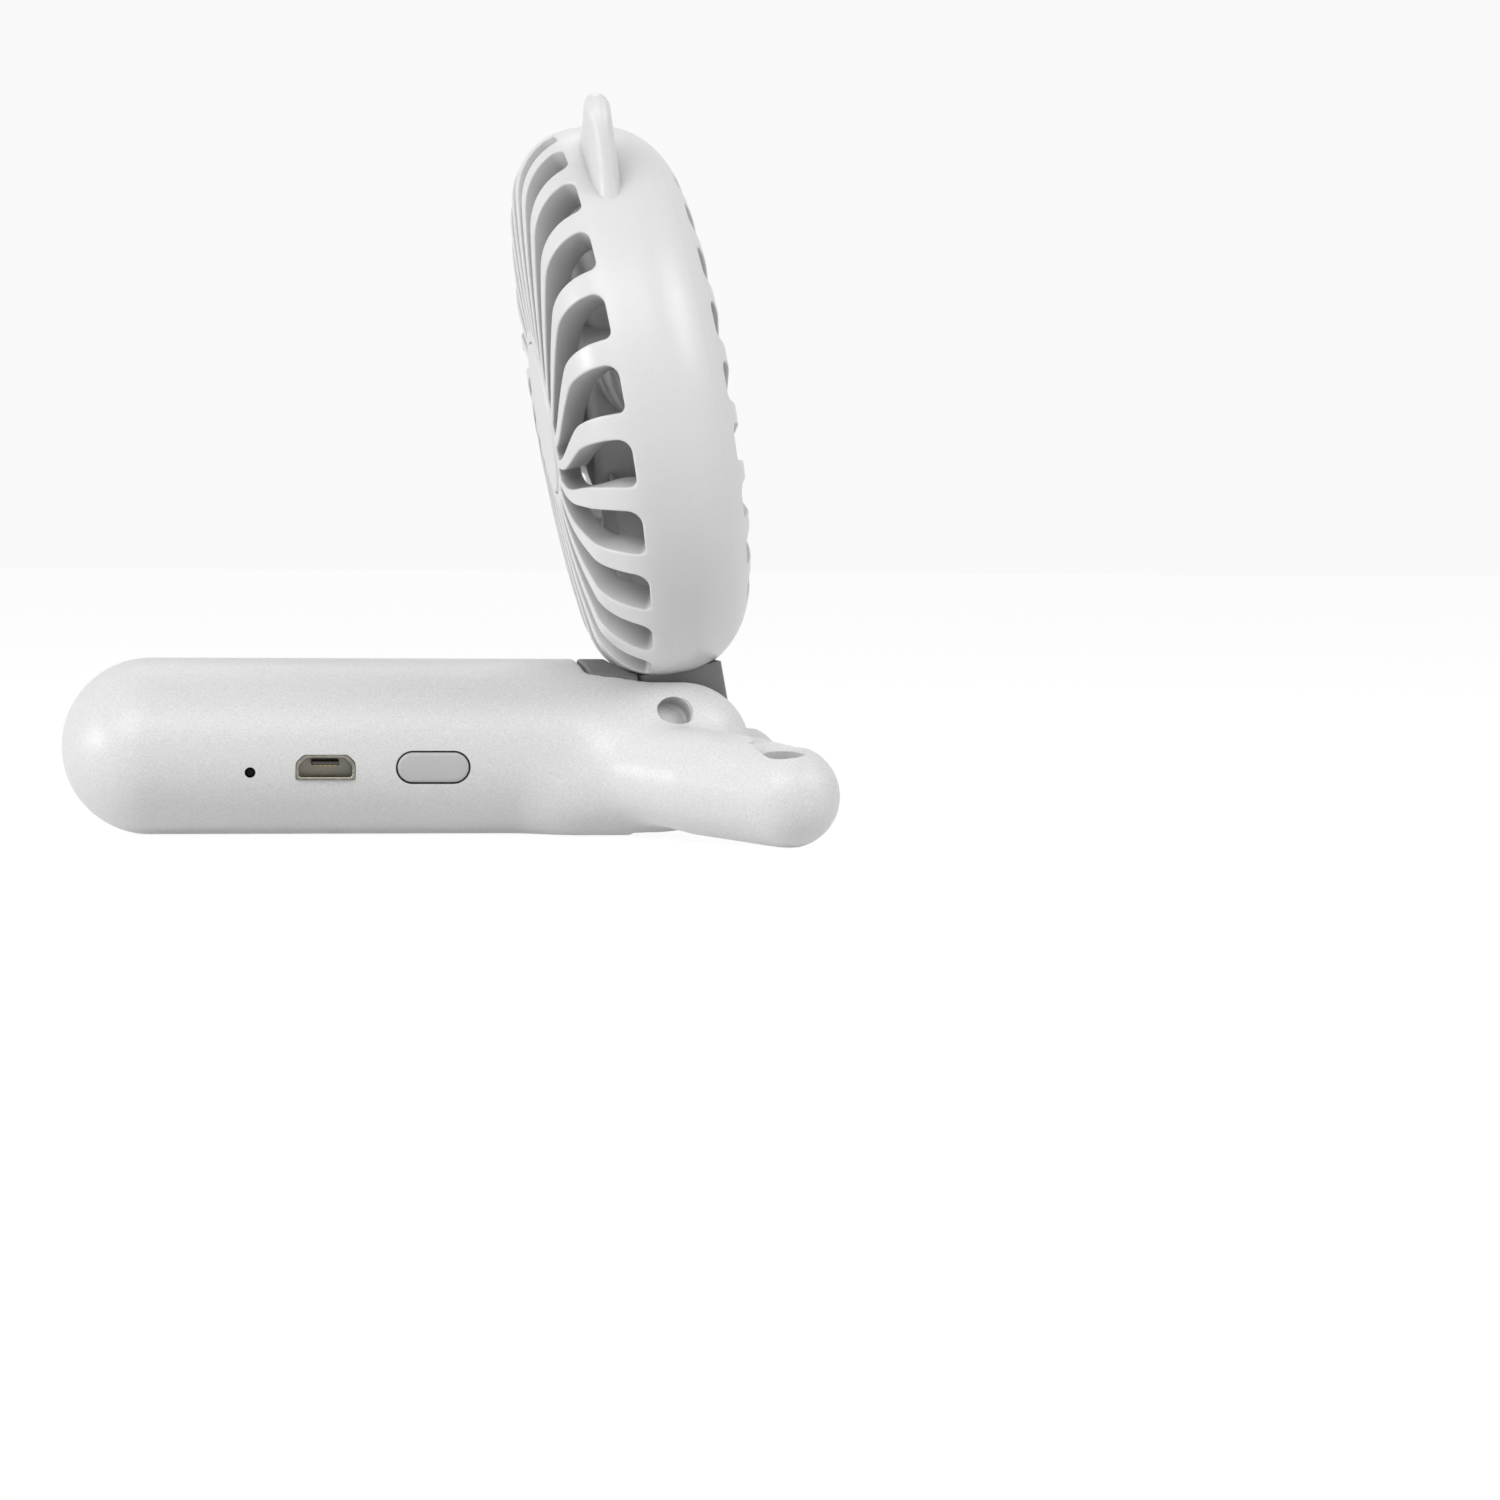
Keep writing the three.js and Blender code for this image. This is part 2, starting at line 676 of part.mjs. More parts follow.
// The round-cornered end of a front slot, where it comes down onto the band.
function slotEnd() {
  const bottom = headFront - frontSlotReach;
  const half = Math.tan((slotPitch * slotShareRim) / 2);
  const rings = [swirlStart - 2 * cutMargin, headRadius + cutMargin].map((radius) => {
    const shape = new THREE.Path();
    const reach = half * radius;
    shape.moveTo(-reach, bottom + slotEndRound + fitGap);
    shape.lineTo(-reach, bottom + slotEndRound);
    shape.quadraticCurveTo(-reach, bottom, -reach + slotEndRound, bottom);
    shape.lineTo(reach - slotEndRound, bottom);
    shape.quadraticCurveTo(reach, bottom, reach, bottom + slotEndRound);
    shape.lineTo(reach, bottom + slotEndRound + fitGap);
    return shape.getPoints(arcSteps).map((point) => new THREE.Vector3(radius, point.x, point.y));
  });
  return loft(rings);
}

function grilleCutter(z0, z1, outline, ends) {
  const prism = new THREE.ExtrudeGeometry(outline, { depth: z1 - z0, bevelEnabled: false });
  const slot = join([solid(prism.translate(0, 0, z0)), ...ends]);
  const copies = [];
  for (let k = 0; k < slotCount; k += 1) {
    copies.push(slot.rotate([0, 0, slotTurn + (k * 360) / slotCount]));
  }
  return join(copies);
}

// One ear, a flat plate with rounded edges that stands out from the rim. Side is 1 on the right.
function ear(side) {
  const base = headRadius * Math.sin(radians(earBaseAngle / 2)) - earRound;
  const root = headRadius * Math.cos(radians(earBaseAngle / 2)) - headWall;
  const tip = earTipRadius - earRound;
  const shoulder = earTipWidth / 2 - earRound;
  const shape = new THREE.Shape();
  shape.moveTo(-base, root);
  shape.lineTo(base, root);
  shape.quadraticCurveTo(shoulder + (base - shoulder) / 2, (root + tip) / 2, shoulder, tip - shoulder);
  shape.quadraticCurveTo(shoulder / 2, tip, 0, tip);
  shape.quadraticCurveTo(-shoulder / 2, tip, -shoulder, tip - shoulder);
  shape.quadraticCurveTo(-shoulder - (base - shoulder) / 2, (root + tip) / 2, -base, root);
  const plate = new THREE.ExtrudeGeometry(shape, {
    depth: earThickness - 2 * earRound,
    bevelThickness: earRound,
    bevelSize: earRound,
    bevelSegments: 2,
    curveSegments: earCurveSteps,
  });
  plate.translate(0, 0, earForward - earThickness / 2 + earRound);
  return solid(plate.rotateZ(radians(-side * earAngle)));
}

const frontSlot = slotOutline(slotSteps, headRadius + cutMargin);
const rearSlot = slotOutline(rearSlotSteps, rearSlotEnd);
const headInside = headSolid(-headWall, insideArcSteps);
const behindSeam = box(-far, far, -far, far, -far, rearSeamLevel + fitGap / 2);
const beforeSeam = box(-far, far, -far, far, rearSeamLevel - fitGap / 2, far);

function neckOpening(gap) {
  return box(
    -tongueWidth / 2 - gap, tongueWidth / 2 + gap,
    -hingeToHead, -headRadius + headWall + tongueReach,
    -tongueThickness / 2 - gap, tongueThickness / 2 + gap,
  );
}

function neckScrewHole(side) {
  const bottom = -hingeToHead + axleDiameter;
  return barY(screwDiameter / 2 + fitGap, side * neckScrewSpread, -headForward, bottom, -headRadius / 2);
}

const frontShell = cut(join([headSolid(0), ear(1), ear(-1)]), [
  headInside.subtract(disc(hubRadius, headFront - frontHubDepth, headFront)),
  behindSeam,
  disc(capRadius + fitGap, headFront + capProud - capThickness - fitGap, far, headSides),
  grilleCutter(headFront - frontSlotReach + slotEndRound, headFront + cutMargin, frontSlot, [slotEnd()]),
  neckOpening(fitGap),
  neckScrewHole(-1),
  neckScrewHole(1),
]);

const hubCap = revolve([
  [0, headFront + capProud - capThickness], [capRadius, headFront + capProud - capThickness],
  [capRadius, headFront], [capRadius - capProud, headFront + capProud], [0, headFront + capProud],
], headSides);

const motorScrewSeat = -headFront + screwHeadHeight + fitGap;
const cupInner = motorRadius + fitGap;
const spigotTop = rearSeamLevel + spigotReach;
const rearGrille = cut(
  join([
    cut(headSolid(0), [
      headInside.subtract(disc(hubRadius, -headFront, -headFront + rearHubDepth)),
      beforeSeam,
    ]),
    ring(spigotRadius - spigotWall, spigotRadius, rearSeamLevel - headWall, spigotTop, headSides),
    ring(cupInner, cupInner + motorCupWall, -headFront + headWall, -headFront + rearHubDepth + motorCupReach),
  ]),
  [
    grilleCutter(-headFront - cutMargin, spigotTop + fitGap, rearSlot, []),
    ...[-1, 1].flatMap((side) => [
      disc(screwHeadDiameter / 2 + fitGap, -far, motorScrewSeat).translate(side * motorScrewSpread, 0, 0),
      disc(screwDiameter / 2 + fitGap, -far, 0, smallSides).translate(side * motorScrewSpread, 0, 0),
    ]),
  ],
);

const bellFront = motorRear + bellThickness;
const motorEndBell = cut(
  disc(motorRadius, motorRear, bellFront),
  [-1, 1].map((side) => (
    disc(screwDiameter / 2 + fitGap, -far, far, smallSides).translate(side * motorScrewSpread, 0, 0)
  )),
);
const shaftRear = bellFront + 2 * fitGap;
const motorCan = cut(
  revolve([
    [0, bellFront + fitGap], [motorRadius, bellFront + fitGap], [motorRadius, motorFront - motorEdge],
    [motorRadius - motorEdge, motorFront], [0, motorFront],
  ], roundSides * 2),
  [
    disc(bushRadius + fitGap / 2, motorFront - bushLength, far),
    disc(shaftDiameter / 2 + fitGap, shaftRear - fitGap / 2, far, smallSides),
    ...[-1, 1].map((side) => (
      disc(screwDiameter / 2 + fitGap, -far, bellFront + motorScrewLength, smallSides)
        .translate(side * motorScrewSpread, 0, 0)
    )),
  ],
);
const bushRear = motorFront - bushLength + fitGap;
const motorBush = ring(shaftDiameter / 2 + fitGap / 2, bushRadius, bushRear, bushRear + bushLength);
const motorShaft = disc(shaftDiameter / 2, shaftRear, shaftTip, smallSides);

// One impeller blade: a cambered section that flattens towards the tip.
function blade() {
  const root = impellerHubRadius - impellerHubWall / 2;
  const steps = 6;
  const rings = [];
  for (let k = 0; k <= steps; k += 1) {
    const share = k / steps;
    const radius = root + (bladeTip - root) * share;
    const rounding = bladeTipRound * share ** bladeTipRoundPower;
    const chord = bladeRootChord + (bladeTipChord - bladeRootChord) * (share - rounding);
    const pitch = radians(bladeRootPitch + (bladeTipPitch - bladeRootPitch) * share);
    const section = [];
    for (const [along, face] of bladeSection) {
      const lift = bladeCamber * (1 - 4 * along * along) + (face * bladeThickness) / 2;
      const forward = chord * along;
      const around = (forward * Math.cos(pitch) - lift * Math.sin(pitch)) / radius;
      const height = bladeMiddle + forward * Math.sin(pitch) + lift * Math.cos(pitch);
      section.push(new THREE.Vector3(radius * Math.cos(around), radius * Math.sin(around), height));
    }
    rings.push(section);
  }
  return loft(rings);
}

const impellerInner = impellerHubRadius - impellerHubWall;
const impellerCup = revolve([
  [shaftDiameter / 2 + fitGap / 2, impellerBossRear], [impellerBossRadius, impellerBossRear],
  [impellerBossRadius, impellerHubFront - impellerPlate], [impellerInner, impellerHubFront - impellerPlate],
  [impellerInner, impellerHubRear], [impellerHubRadius, impellerHubRear],
  [impellerHubRadius, impellerHubFront - impellerPlate], [impellerHubRadius - impellerPlate, impellerHubFront],
  [shaftDiameter / 2 + fitGap / 2, impellerHubFront], [shaftDiameter / 2 + fitGap / 2, impellerBossRear],
], roundSides * 2);
const blades = [];
for (let k = 0; k < bladeCount; k += 1) {
  blades.push(blade().rotate([0, 0, (k * 360) / bladeCount]));
}
const impeller = join([impellerCup, ...blades]);

// The neck, in the hinge's own frame with the head straight above it.
function hingeNeck() {
  const barrel = barY(neckThickness / 2, 0, 0, -neckHalf, neckHalf, roundSides * 2);
  const block = box(-neckThickness / 2, neckThickness / 2, -neckHalf, neckHalf, 0, hingeToHead - headRadius + headWall);
  const headSpace = facing(headSolid(fitGap));
  return cut(join([cut(join([barrel, block]), [headSpace]), facing(neckOpening(0))]), [
    facing(neckScrewHole(-1)),
    facing(neckScrewHole(1)),
    barY(axleDiameter / 2 + fitGap, 0, 0, -notchWidth, notchWidth, roundSides),
  ]);
}

// Turns a head piece from its own axes to stand over the hinge with its front towards -X.
function facing(body) {
  return body.rotate([90, 0, 0]).rotate([0, 0, -90]).translate(-headForward, 0, hingeToHead);
}

// The block that closes the rear of the notch, flush with the handle and hollowed for the head.
function hingeBlock() {
  const filling = oval.intersect(forkNotch(fitGap));
  const headRoom = facing(headSolid(blockClearance)).rotate([0, -headLean, 0]);
  return cut(filling, [underDesk, box(-blockFront, far, -far, far, -far, far), headRoom]);
}

// Assembly

const white = () => finish(0xf2f2f1, 0.42);
const grey = () => finish(0x6f7072, 0.5);
const steel = () => finish(0xb9bcc0, 0.3, 1);

const fan = new THREE.Group();
const hinge = new THREE.Group();
hinge.position.set(referenceToHinge, 0, halfHeight - deskFlat);
const head = new THREE.Group();
head.rotation.y = radians(-headLean);
const drum = new THREE.Group();
drum.position.set(-headForward, 0, hingeToHead);
drum.setRotationFromMatrix(new THREE.Matrix4().makeBasis(
  new THREE.Vector3(0, -1, 0),
  new THREE.Vector3(0, 0, 1),
  new THREE.Vector3(-1, 0, 0),
));
fan.add(hinge);
hinge.add(head);
head.add(drum);

function place(group, name, body, material) {
  const mesh = new THREE.Mesh(geometryOf(body), material);
  mesh.name = name;
  group.add(mesh);
  return mesh;
}

place(hinge, 'handle_shell_right', handleShell(-1, rightHoles), white());
place(hinge, 'handle_shell_left', handleShell(1, leftHoles), white());
place(hinge, 'power_button', powerButton, white());
place(hinge, 'power_switch', powerSwitch, finish(0x1c1c1e, 0.5));
place(hinge, 'charge_led', chargeLed, finish(0x101114, 0.3));
place(hinge, 'usb_socket_shell', usbShell, finish(0xa9a59b, 0.32, 1));
place(hinge, 'usb_socket_tongue', usbTongue, finish(0x17171a, 0.5));
place(hinge, 'circuit_board', boardSpace(0), finish(0x1f5a3a, 0.5));
place(hinge, 'battery_cell', batteryCell(), finish(0x3f78b5, 0.4));
place(hinge, 'battery_tab_front', batteryTab(-cellFrontBack + fitGap), steel());
place(hinge, 'battery_tab_rear', batteryTab(-cellFrontBack - cellLength - fitGap - tabThickness), steel());
place(hinge, 'hinge_block', hingeBlock(), grey());
place(hinge, 'hinge_axle', axle(), steel());
place(hinge, 'friction_washer_right', washer(-1), finish(0x2b2b2d, 0.6));
place(hinge, 'friction_washer_left', washer(1), finish(0x2b2b2d, 0.6));
for (const [name, back, height] of caseScrews) {
  const fastener = place(hinge, name, screw(caseSeat + casePilotDepth - 2 * fitGap), steel());
  fastener.position.set(-back, caseSeat + fitGap / 2, height);
  fastener.rotation.x = -Math.PI / 2;
}

place(head, 'hinge_neck', hingeNeck(), grey());
for (const [name, side] of [['neck_screw_1', -1], ['neck_screw_2', 1]]) {
  const seat = Math.sqrt((headRadius - headWall) ** 2 - (neckScrewSpread + screwHeadDiameter / 2) ** 2);
  const fastener = place(head, name, screw(neckScrewLength), steel());
  fastener.position.set(0, side * neckScrewSpread, hingeToHead - seat + neckScrewLift);
}

place(drum, 'front_shell', frontShell, white());
place(drum, 'rear_grille', rearGrille, white());
place(drum, 'hub_cap', hubCap, white());
place(drum, 'motor_end_bell', motorEndBell, finish(0x2a2a2c, 0.5));
place(drum, 'motor_can', motorCan, steel());
place(drum, 'motor_bush', motorBush, finish(0xb5883e, 0.35, 1));
for (const [name, side] of [['motor_screw_1', -1], ['motor_screw_2', 1]]) {
  const fastener = place(drum, name, screw(motorScrewLength), steel());
  fastener.position.set(side * motorScrewSpread, 0, motorScrewSeat - fitGap / 2);
  fastener.rotation.x = Math.PI;
}
place(drum, 'motor_shaft', motorShaft, steel());
place(drum, 'impeller', impeller, finish(0xd9dadb, 0.4));

export default fan;
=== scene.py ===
"""Looks of the folding handheld fan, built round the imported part.

Shapes are worked out in millimetres, from the fold hinge for the handle and from the
middle of the head for the head, and go into the part's own frame in metres.
"""

import json
import math

import bmesh
import bpy
import numpy as np
from mathutils import Matrix, Vector

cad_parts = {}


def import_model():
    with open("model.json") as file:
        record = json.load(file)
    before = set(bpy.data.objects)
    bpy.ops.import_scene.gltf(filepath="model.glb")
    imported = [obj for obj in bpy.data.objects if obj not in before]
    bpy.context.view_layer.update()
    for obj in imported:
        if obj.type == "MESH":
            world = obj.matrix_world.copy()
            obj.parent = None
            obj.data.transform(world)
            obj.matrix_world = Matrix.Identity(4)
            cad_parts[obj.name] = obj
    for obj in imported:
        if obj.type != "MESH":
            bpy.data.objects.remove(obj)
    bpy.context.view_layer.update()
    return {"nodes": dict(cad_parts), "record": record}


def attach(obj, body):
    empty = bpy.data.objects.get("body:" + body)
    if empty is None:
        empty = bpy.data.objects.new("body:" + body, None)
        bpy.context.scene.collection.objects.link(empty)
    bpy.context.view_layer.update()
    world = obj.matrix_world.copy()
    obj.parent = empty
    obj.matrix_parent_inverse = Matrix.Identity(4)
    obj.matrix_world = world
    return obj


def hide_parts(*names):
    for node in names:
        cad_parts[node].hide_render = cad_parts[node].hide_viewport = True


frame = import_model()

MM = 0.001

# Handle, from the fold hinge
HINGE = (46.0, 0.0, 12.35)
HALF_HEIGHT = 12.5
HALF_WIDTH = 15.0
TAIL = 88.9
NOSE_CENTRE = -2.0
NOSE_LENGTH = 12.8
DESK_LEVEL = -12.35
SQUARE_PLACES = (-26.0, -16.0, -6.0, 0.0)
SQUARE_ADDS = (0.0, 1.6, 1.6, 1.0)
NOTCH_HALF = 9.1
NOTCH_NARROWING = 1.8
NOTCH_TAPER = 9.5
NOTCH_REACH = 16.3
NOTCH_BOW = 1.1
NOTCH_EDGE = 0.9
LEG_ROOT = (-16.0, 6.0, -1.8)
LEG_ROOT_RADIUS = 6.0
LEG_MIDDLE_RADIUS = 7.4
LEG_MIDDLE_REACH = 21.0
BALL = (10.7, 28.2, -5.4)
BALL_RADIUS = 7.1
LEG_BLEND = 3.2
EYE_RADIUS = 3.15
EYE_OUTWARD = 1.3
EYE_BACK = 0.7
EYE_TOP = 6.3
EYE_LEAN = 0.39
EYE_MOUTH = 5.0
EYE_LIP = 2.2
WELL_RADIUS = 2.5
WELL_DEPTH = 2.5
WELL_BACK = 3.4
WELL_HEIGHT = 5.6
WELL_TILT = 0.2
BLOCK_GAP = 0.25
BLOCK_FRONT = 6.3
BLOCK_CLEARANCE = 0.3
BLOCK_EDGE = 0.5
BLOCK_SHARP = 0.12
FLOOR_FRONT = 8.4
FLOOR_TOP = -10.4
SEAM_HALF = 0.07
DESK_EDGE = 0.05
EYE_DRILL_LOW = -16.0
EYE_DRILL_HIGH = 4.0
EYE_MOUTH_LOW = -1.0
WELL_LIP = 0.08
NET_SIZE = 0.5
NET_ROOM = 2.0
BLOCK_ROOM = 3.0

# Ports on the right side
PORT_DROP = 2.2
LED_BACK = 62.6
LED_DROP = 2.9
LED_RADIUS = 0.75
USB_BACK = 52.2
USB_WIDTH = 7.8
USB_HEIGHT = 3.1
USB_CORNER = 1.1
BUTTON_BACK = 37.3
BUTTON_LENGTH = 10.4
BUTTON_HEIGHT = 4.7
BUTTON_GAP = 0.25
BUTTON_EDGE = 0.45
BUTTON_PROUD = 0.15
BUTTON_SKIRT = 1.9
BUTTON_HOLE_DEPTH = 5.0
HOLE_OUTSIDE = 3.0
USB_HOLE_DEPTH = 7.0
USB_RECESS = 0.15
USB_WALL = 0.26
USB_LIP = 0.16
USB_DEPTH = 5.8
USB_INNER_DEPTH = 5.4
TONGUE_HALF = 1.9
TONGUE_LOW = 0.25
TONGUE_HIGH = 0.85
TONGUE_EDGE = 0.12
TONGUE_STATIONS = (0.9, 1.05, 5.2)
CONTACT_COUNT = 5
CONTACT_PITCH = 0.65
CONTACT_HALF = 0.18
CONTACT_LOW = 0.17
CONTACT_HIGH = 0.3
CONTACT_ENDS = (1.1, 5.1)
LED_HOLE_DEPTH = 5.0
CASE_SCREWS = ((83.5, 0.0), (21.2, 6.0), (21.2, -6.0))
CASE_SEAT = 3.0
SCREW_WELL_RADIUS = 2.15
SCREW_GAP = 0.12

# Head, from its own middle: +Z front, +Y up, +X to the near side
HEAD_LEAN = 10.4
HEAD_CENTRE = (-0.35, 0.0, 49.9)
HEAD_RADIUS = 39.6
HEAD_FRONT = 11.85
FRONT_CORNER = 9.4
FRONT_CROWN = 1.2
REAR_CORNER = 11.1
HUB_RADIUS = 12.3
CAP_RADIUS = 10.75
CAP_PROUD = 0.3
CAP_EDGE = 0.6
CAP_DEPTH = 2.6
CAP_GAP = 0.25
CROWN_START = 82.4
REAR_HOLE_RADIUS = 8.0
PLUG_RADIUS = 8.2
PLUG_FRONT = -9.0
MOTOR_SCREW_REACH = 5.0
MOTOR_SEAT = -10.2
MOTOR_SEAT_REAR = -14.0
SEAM_LEVEL = -8.25
SEAM_GAP = 0.01
FACE_DEPTH = 3.2
RIM_DEPTH = 4.6
DEEPER_FROM = 26.0
SLOT_COUNT = 24
SLOT_TURN = 2.4
SLOT_SHARE_RIM = 0.65
SLOT_SHARE_HUB = 0.58
SWIRL_START = 37.5
SWIRL_RATE = 0.186
SWIRL_GROWTH = 0.0367
SLOT_INNER = 12.5
UPPER_CORNER = 2.0
LOWER_CORNER = 1.0
FRONT_SLOT_LEVEL = 4.15
REAR_SLOT_END = 33.6
BAR_EDGE = 0.3
EDGE_STEPS = (0.0, 0.04, 0.11, 0.21, 0.34, 0.7, 1.2)

# Neck, from the fold hinge, and impeller, from the head's middle
NECK_HALF = 8.1
NECK_RADIUS = 6.0
NECK_TOP = 11.6
NECK_EDGE = 0.8
NECK_EDGE_STEP = (0.25, 0.34)
BLADE_COUNT = 5
BLADE_ROOT = 11.4
BLADE_TIP = 34.3
ROOT_CHORD = 11
CHORD_GROWTH = 7
TIP_ROUNDING = 0.6
ROOT_PITCH = 38
PITCH_FALL = 16
CAMBER = 0.9
BLADE_HALF_THICK = 0.6
BLADE_LEVEL = 1.3

# Camera and light, in the part's frame
CAMERA_PLACE = (-18.69, -565.99, 42.71)
CAMERA_TURNS = (7.42, 3.10, 0.42)
FOCAL_PIXELS = 3961.93
PHOTO_PIXELS = 1500
SENSOR = 36
LIT_POINT = (0, 0, 0.04)
LAMPS = (
    ("key", (-0.49, -0.64, 0.59), 0.5, 2.8),
    ("front", (0.0, -0.73, 0.68), 0.5, 1.6),
    ("right", (0.7, -0.4, 0.6), 0.5, 3.0),
    ("left", (-0.98, -0.1, 0.15), 0.4, 3.3),
    ("back", (0.0, 0.6, 0.8), 0.5, 0.8),
)
STAGE_HALF = 4.0
STAGE_DROP = 0.00005
STAGE_GREY = 0.7
STAGE_GLOW = 1.11
GLOW_SHARE_LIT = 0.05
GLOW_SHARE_SEEN = 0.85
SKY_LIGHT = 0.15
SKY_SEEN = 0.95

place_hinge = Matrix.Translation(Vector(HINGE))
place_head = place_hinge @ Matrix.Rotation(math.radians(-HEAD_LEAN), 4, "Y")
drum_axes = Matrix(((0, 0, -1, 0), (-1, 0, 0, 0), (0, 1, 0, 0), (0, 0, 0, 1)))
place_drum = place_head @ Matrix.Translation(Vector(HEAD_CENTRE)) @ drum_axes


# Materials


def node_material(name):
    material = bpy.data.materials.new(name)
    material.use_nodes = True
    nodes = material.node_tree.nodes
    return material, nodes, material.node_tree.links, nodes["Principled BSDF"]


def grain(nodes, links, scale, detail=2.0):
    """Fine noise in the piece's own space; scale is in grains per metre."""
    place = nodes.new("ShaderNodeTexCoord")
    noise = nodes.new("ShaderNodeTexNoise")
    noise.inputs["Scale"].default_value = scale
    noise.inputs["Detail"].default_value = detail
    links.new(place.outputs["Object"], noise.inputs["Vector"])
    return noise.outputs["Fac"]


def spread(nodes, links, source, low, high, start=0.3, end=0.7):
    """Maps a value between start and end onto the range from low to high."""
    ranger = nodes.new("ShaderNodeMapRange")
    ranger.inputs["From Min"].default_value = start
    ranger.inputs["From Max"].default_value = end
    ranger.inputs["To Min"].default_value = low
    ranger.inputs["To Max"].default_value = high
    links.new(source, ranger.inputs["Value"])
    return ranger.outputs["Result"]


def ramp(nodes, links, source, dark, light):
    """Runs a noise through two colours."""
    mixer = nodes.new("ShaderNodeMix")
    mixer.data_type = "RGBA"
    mixer.inputs["A"].default_value = (*dark, 1)
    mixer.inputs["B"].default_value = (*light, 1)
    links.new(spread(nodes, links, source, 0, 1), mixer.inputs["Factor"])
    return mixer.outputs["Result"]


def painted_hollow_shade(nodes, links, colour, darkest_shade, reach, clear):
    """Paints shade into a colour in the piece's own hollows, from its own occlusion, down to the darkest
    share given.

    Where the share of open sky is over clear, the colour stays.
    """
    # Painted shade: the piece's own occlusion darkens its colour
    nearby = nodes.new("ShaderNodeAmbientOcclusion")
    nearby.samples = 8
    nearby.only_local = True
    nearby.inputs["Distance"].default_value = reach
    mixer = nodes.new("ShaderNodeMix")
    mixer.data_type = "RGBA"
    mixer.blend_type = "MULTIPLY"
    mixer.inputs["Factor"].default_value = 1.0
    links.new(colour, mixer.inputs["A"])
    links.new(spread(nodes, links, nearby.outputs["AO"], darkest_shade, 1, 0.2, clear), mixer.inputs["B"])
    return mixer.outputs["Result"]


def moulded(
    name, colour, roughness, speck=0.03, grain_height=0.000012, grain_scale=2600.0,
    darkest_shade=0.5, shade_reach=0.004, clear=0.55, gloss=0.5,
):
    """Moulded plastic with a fine spark-eroded grain, faint speckles and painted shade in its own hollows."""
    material, nodes, links, shader = node_material(name)
    fine = grain(nodes, links, grain_scale)
    dark = tuple(c * (1 - speck) for c in colour)
    light = tuple(min(1, c * (1 + speck)) for c in colour)
    specked = ramp(nodes, links, fine, dark, light)
    links.new(painted_hollow_shade(nodes, links, specked, darkest_shade, shade_reach, clear), shader.inputs["Base Color"])
    broad = grain(nodes, links, grain_scale / 12)
    links.new(spread(nodes, links, broad, roughness - 0.04, roughness + 0.04), shader.inputs["Roughness"])
    bump = nodes.new("ShaderNodeBump")
    bump.inputs["Strength"].default_value = 1.0
    bump.inputs["Distance"].default_value = grain_height
    links.new(fine, bump.inputs["Height"])
    links.new(bump.outputs["Normal"], shader.inputs["Normal"])
    shader.inputs["Specular IOR Level"].default_value = gloss
    return material


def metal(name, dark, light, roughness, grain_scale=900.0):
    """Plated or plain metal with a cloudy sheen, and painted shade in its own hollows."""
    material, nodes, links, shader = node_material(name)
    shader.inputs["Metallic"].default_value = 1.0
    cloud = grain(nodes, links, grain_scale, 4.0)
    sheen = ramp(nodes, links, cloud, dark, light)
    links.new(painted_hollow_shade(nodes, links, sheen, 0.7, 0.004, 0.8), shader.inputs["Base Color"])
    links.new(spread(nodes, links, cloud, roughness - 0.06, roughness + 0.08), shader.inputs["Roughness"])
    return material


# The handle's white paints shade into its wells and holes; the head's white paints deeper shade into its
# slots and round the ear bases, out to 35 mm.
white = moulded(
    "white_plastic", (0.86, 0.86, 0.857), 0.37, 0.085, 0.000016, 4000.0, darkest_shade=0.4, shade_reach=0.006
)
smooth_white = moulded(
    "smooth_white_plastic", (0.86, 0.86, 0.857), 0.34, 0.014, 0.000004,
    darkest_shade=0.3, shade_reach=0.035, clear=0.95,
)
button_white = moulded("button_plastic", (0.62, 0.62, 0.62), 0.42, 0.01, 0.000004)
# The impeller's white is painted down to grey, which stands for the shade inside the head; it also paints
# shade into its own hollows.
impeller_white_painted_shade = moulded(
    "impeller_plastic", (0.45, 0.45, 0.45), 0.4, 0.015, 0.000005,
    darkest_shade=0.35, shade_reach=0.02, clear=0.95,
)
grey = moulded("grey_plastic", (0.2, 0.2, 0.2), 0.5, 0.04)
black = moulded("black_plastic", (0.02, 0.02, 0.022), 0.5, 0.1)
tongue_grey = moulded("tongue_plastic", (0.1, 0.096, 0.086), 0.5, 0.06)
led_window = moulded("led_window", (0.006, 0.006, 0.007), 0.3, 0.05, 0.000002, gloss=0.12)
nickel = metal("nickel", (0.22, 0.208, 0.172), (0.34, 0.322, 0.272), 0.24)
steel = metal("steel", (0.5, 0.51, 0.52), (0.6, 0.61, 0.62), 0.3)
brass = metal("brass", (0.55, 0.38, 0.14), (0.65, 0.46, 0.18), 0.36)
board = moulded("board", (0.02, 0.13, 0.06), 0.4, 0.15, 0.000006, 1400.0)
cell_wrap = moulded("cell_wrap", (0.06, 0.2, 0.45), 0.3, 0.04, 0.000004, 500.0)

SLOT_MATERIALS = {
    "white_plastic": white,
    "button_plastic": button_white,
    "impeller_plastic": impeller_white_painted_shade,
    "grey_plastic": grey,
    "black_plastic": black,
    "led_window": led_window,
    "nickel": nickel,
    "steel": steel,
    "brass": brass,
    "board": board,
    "cell": cell_wrap,
}


# Mesh helpers


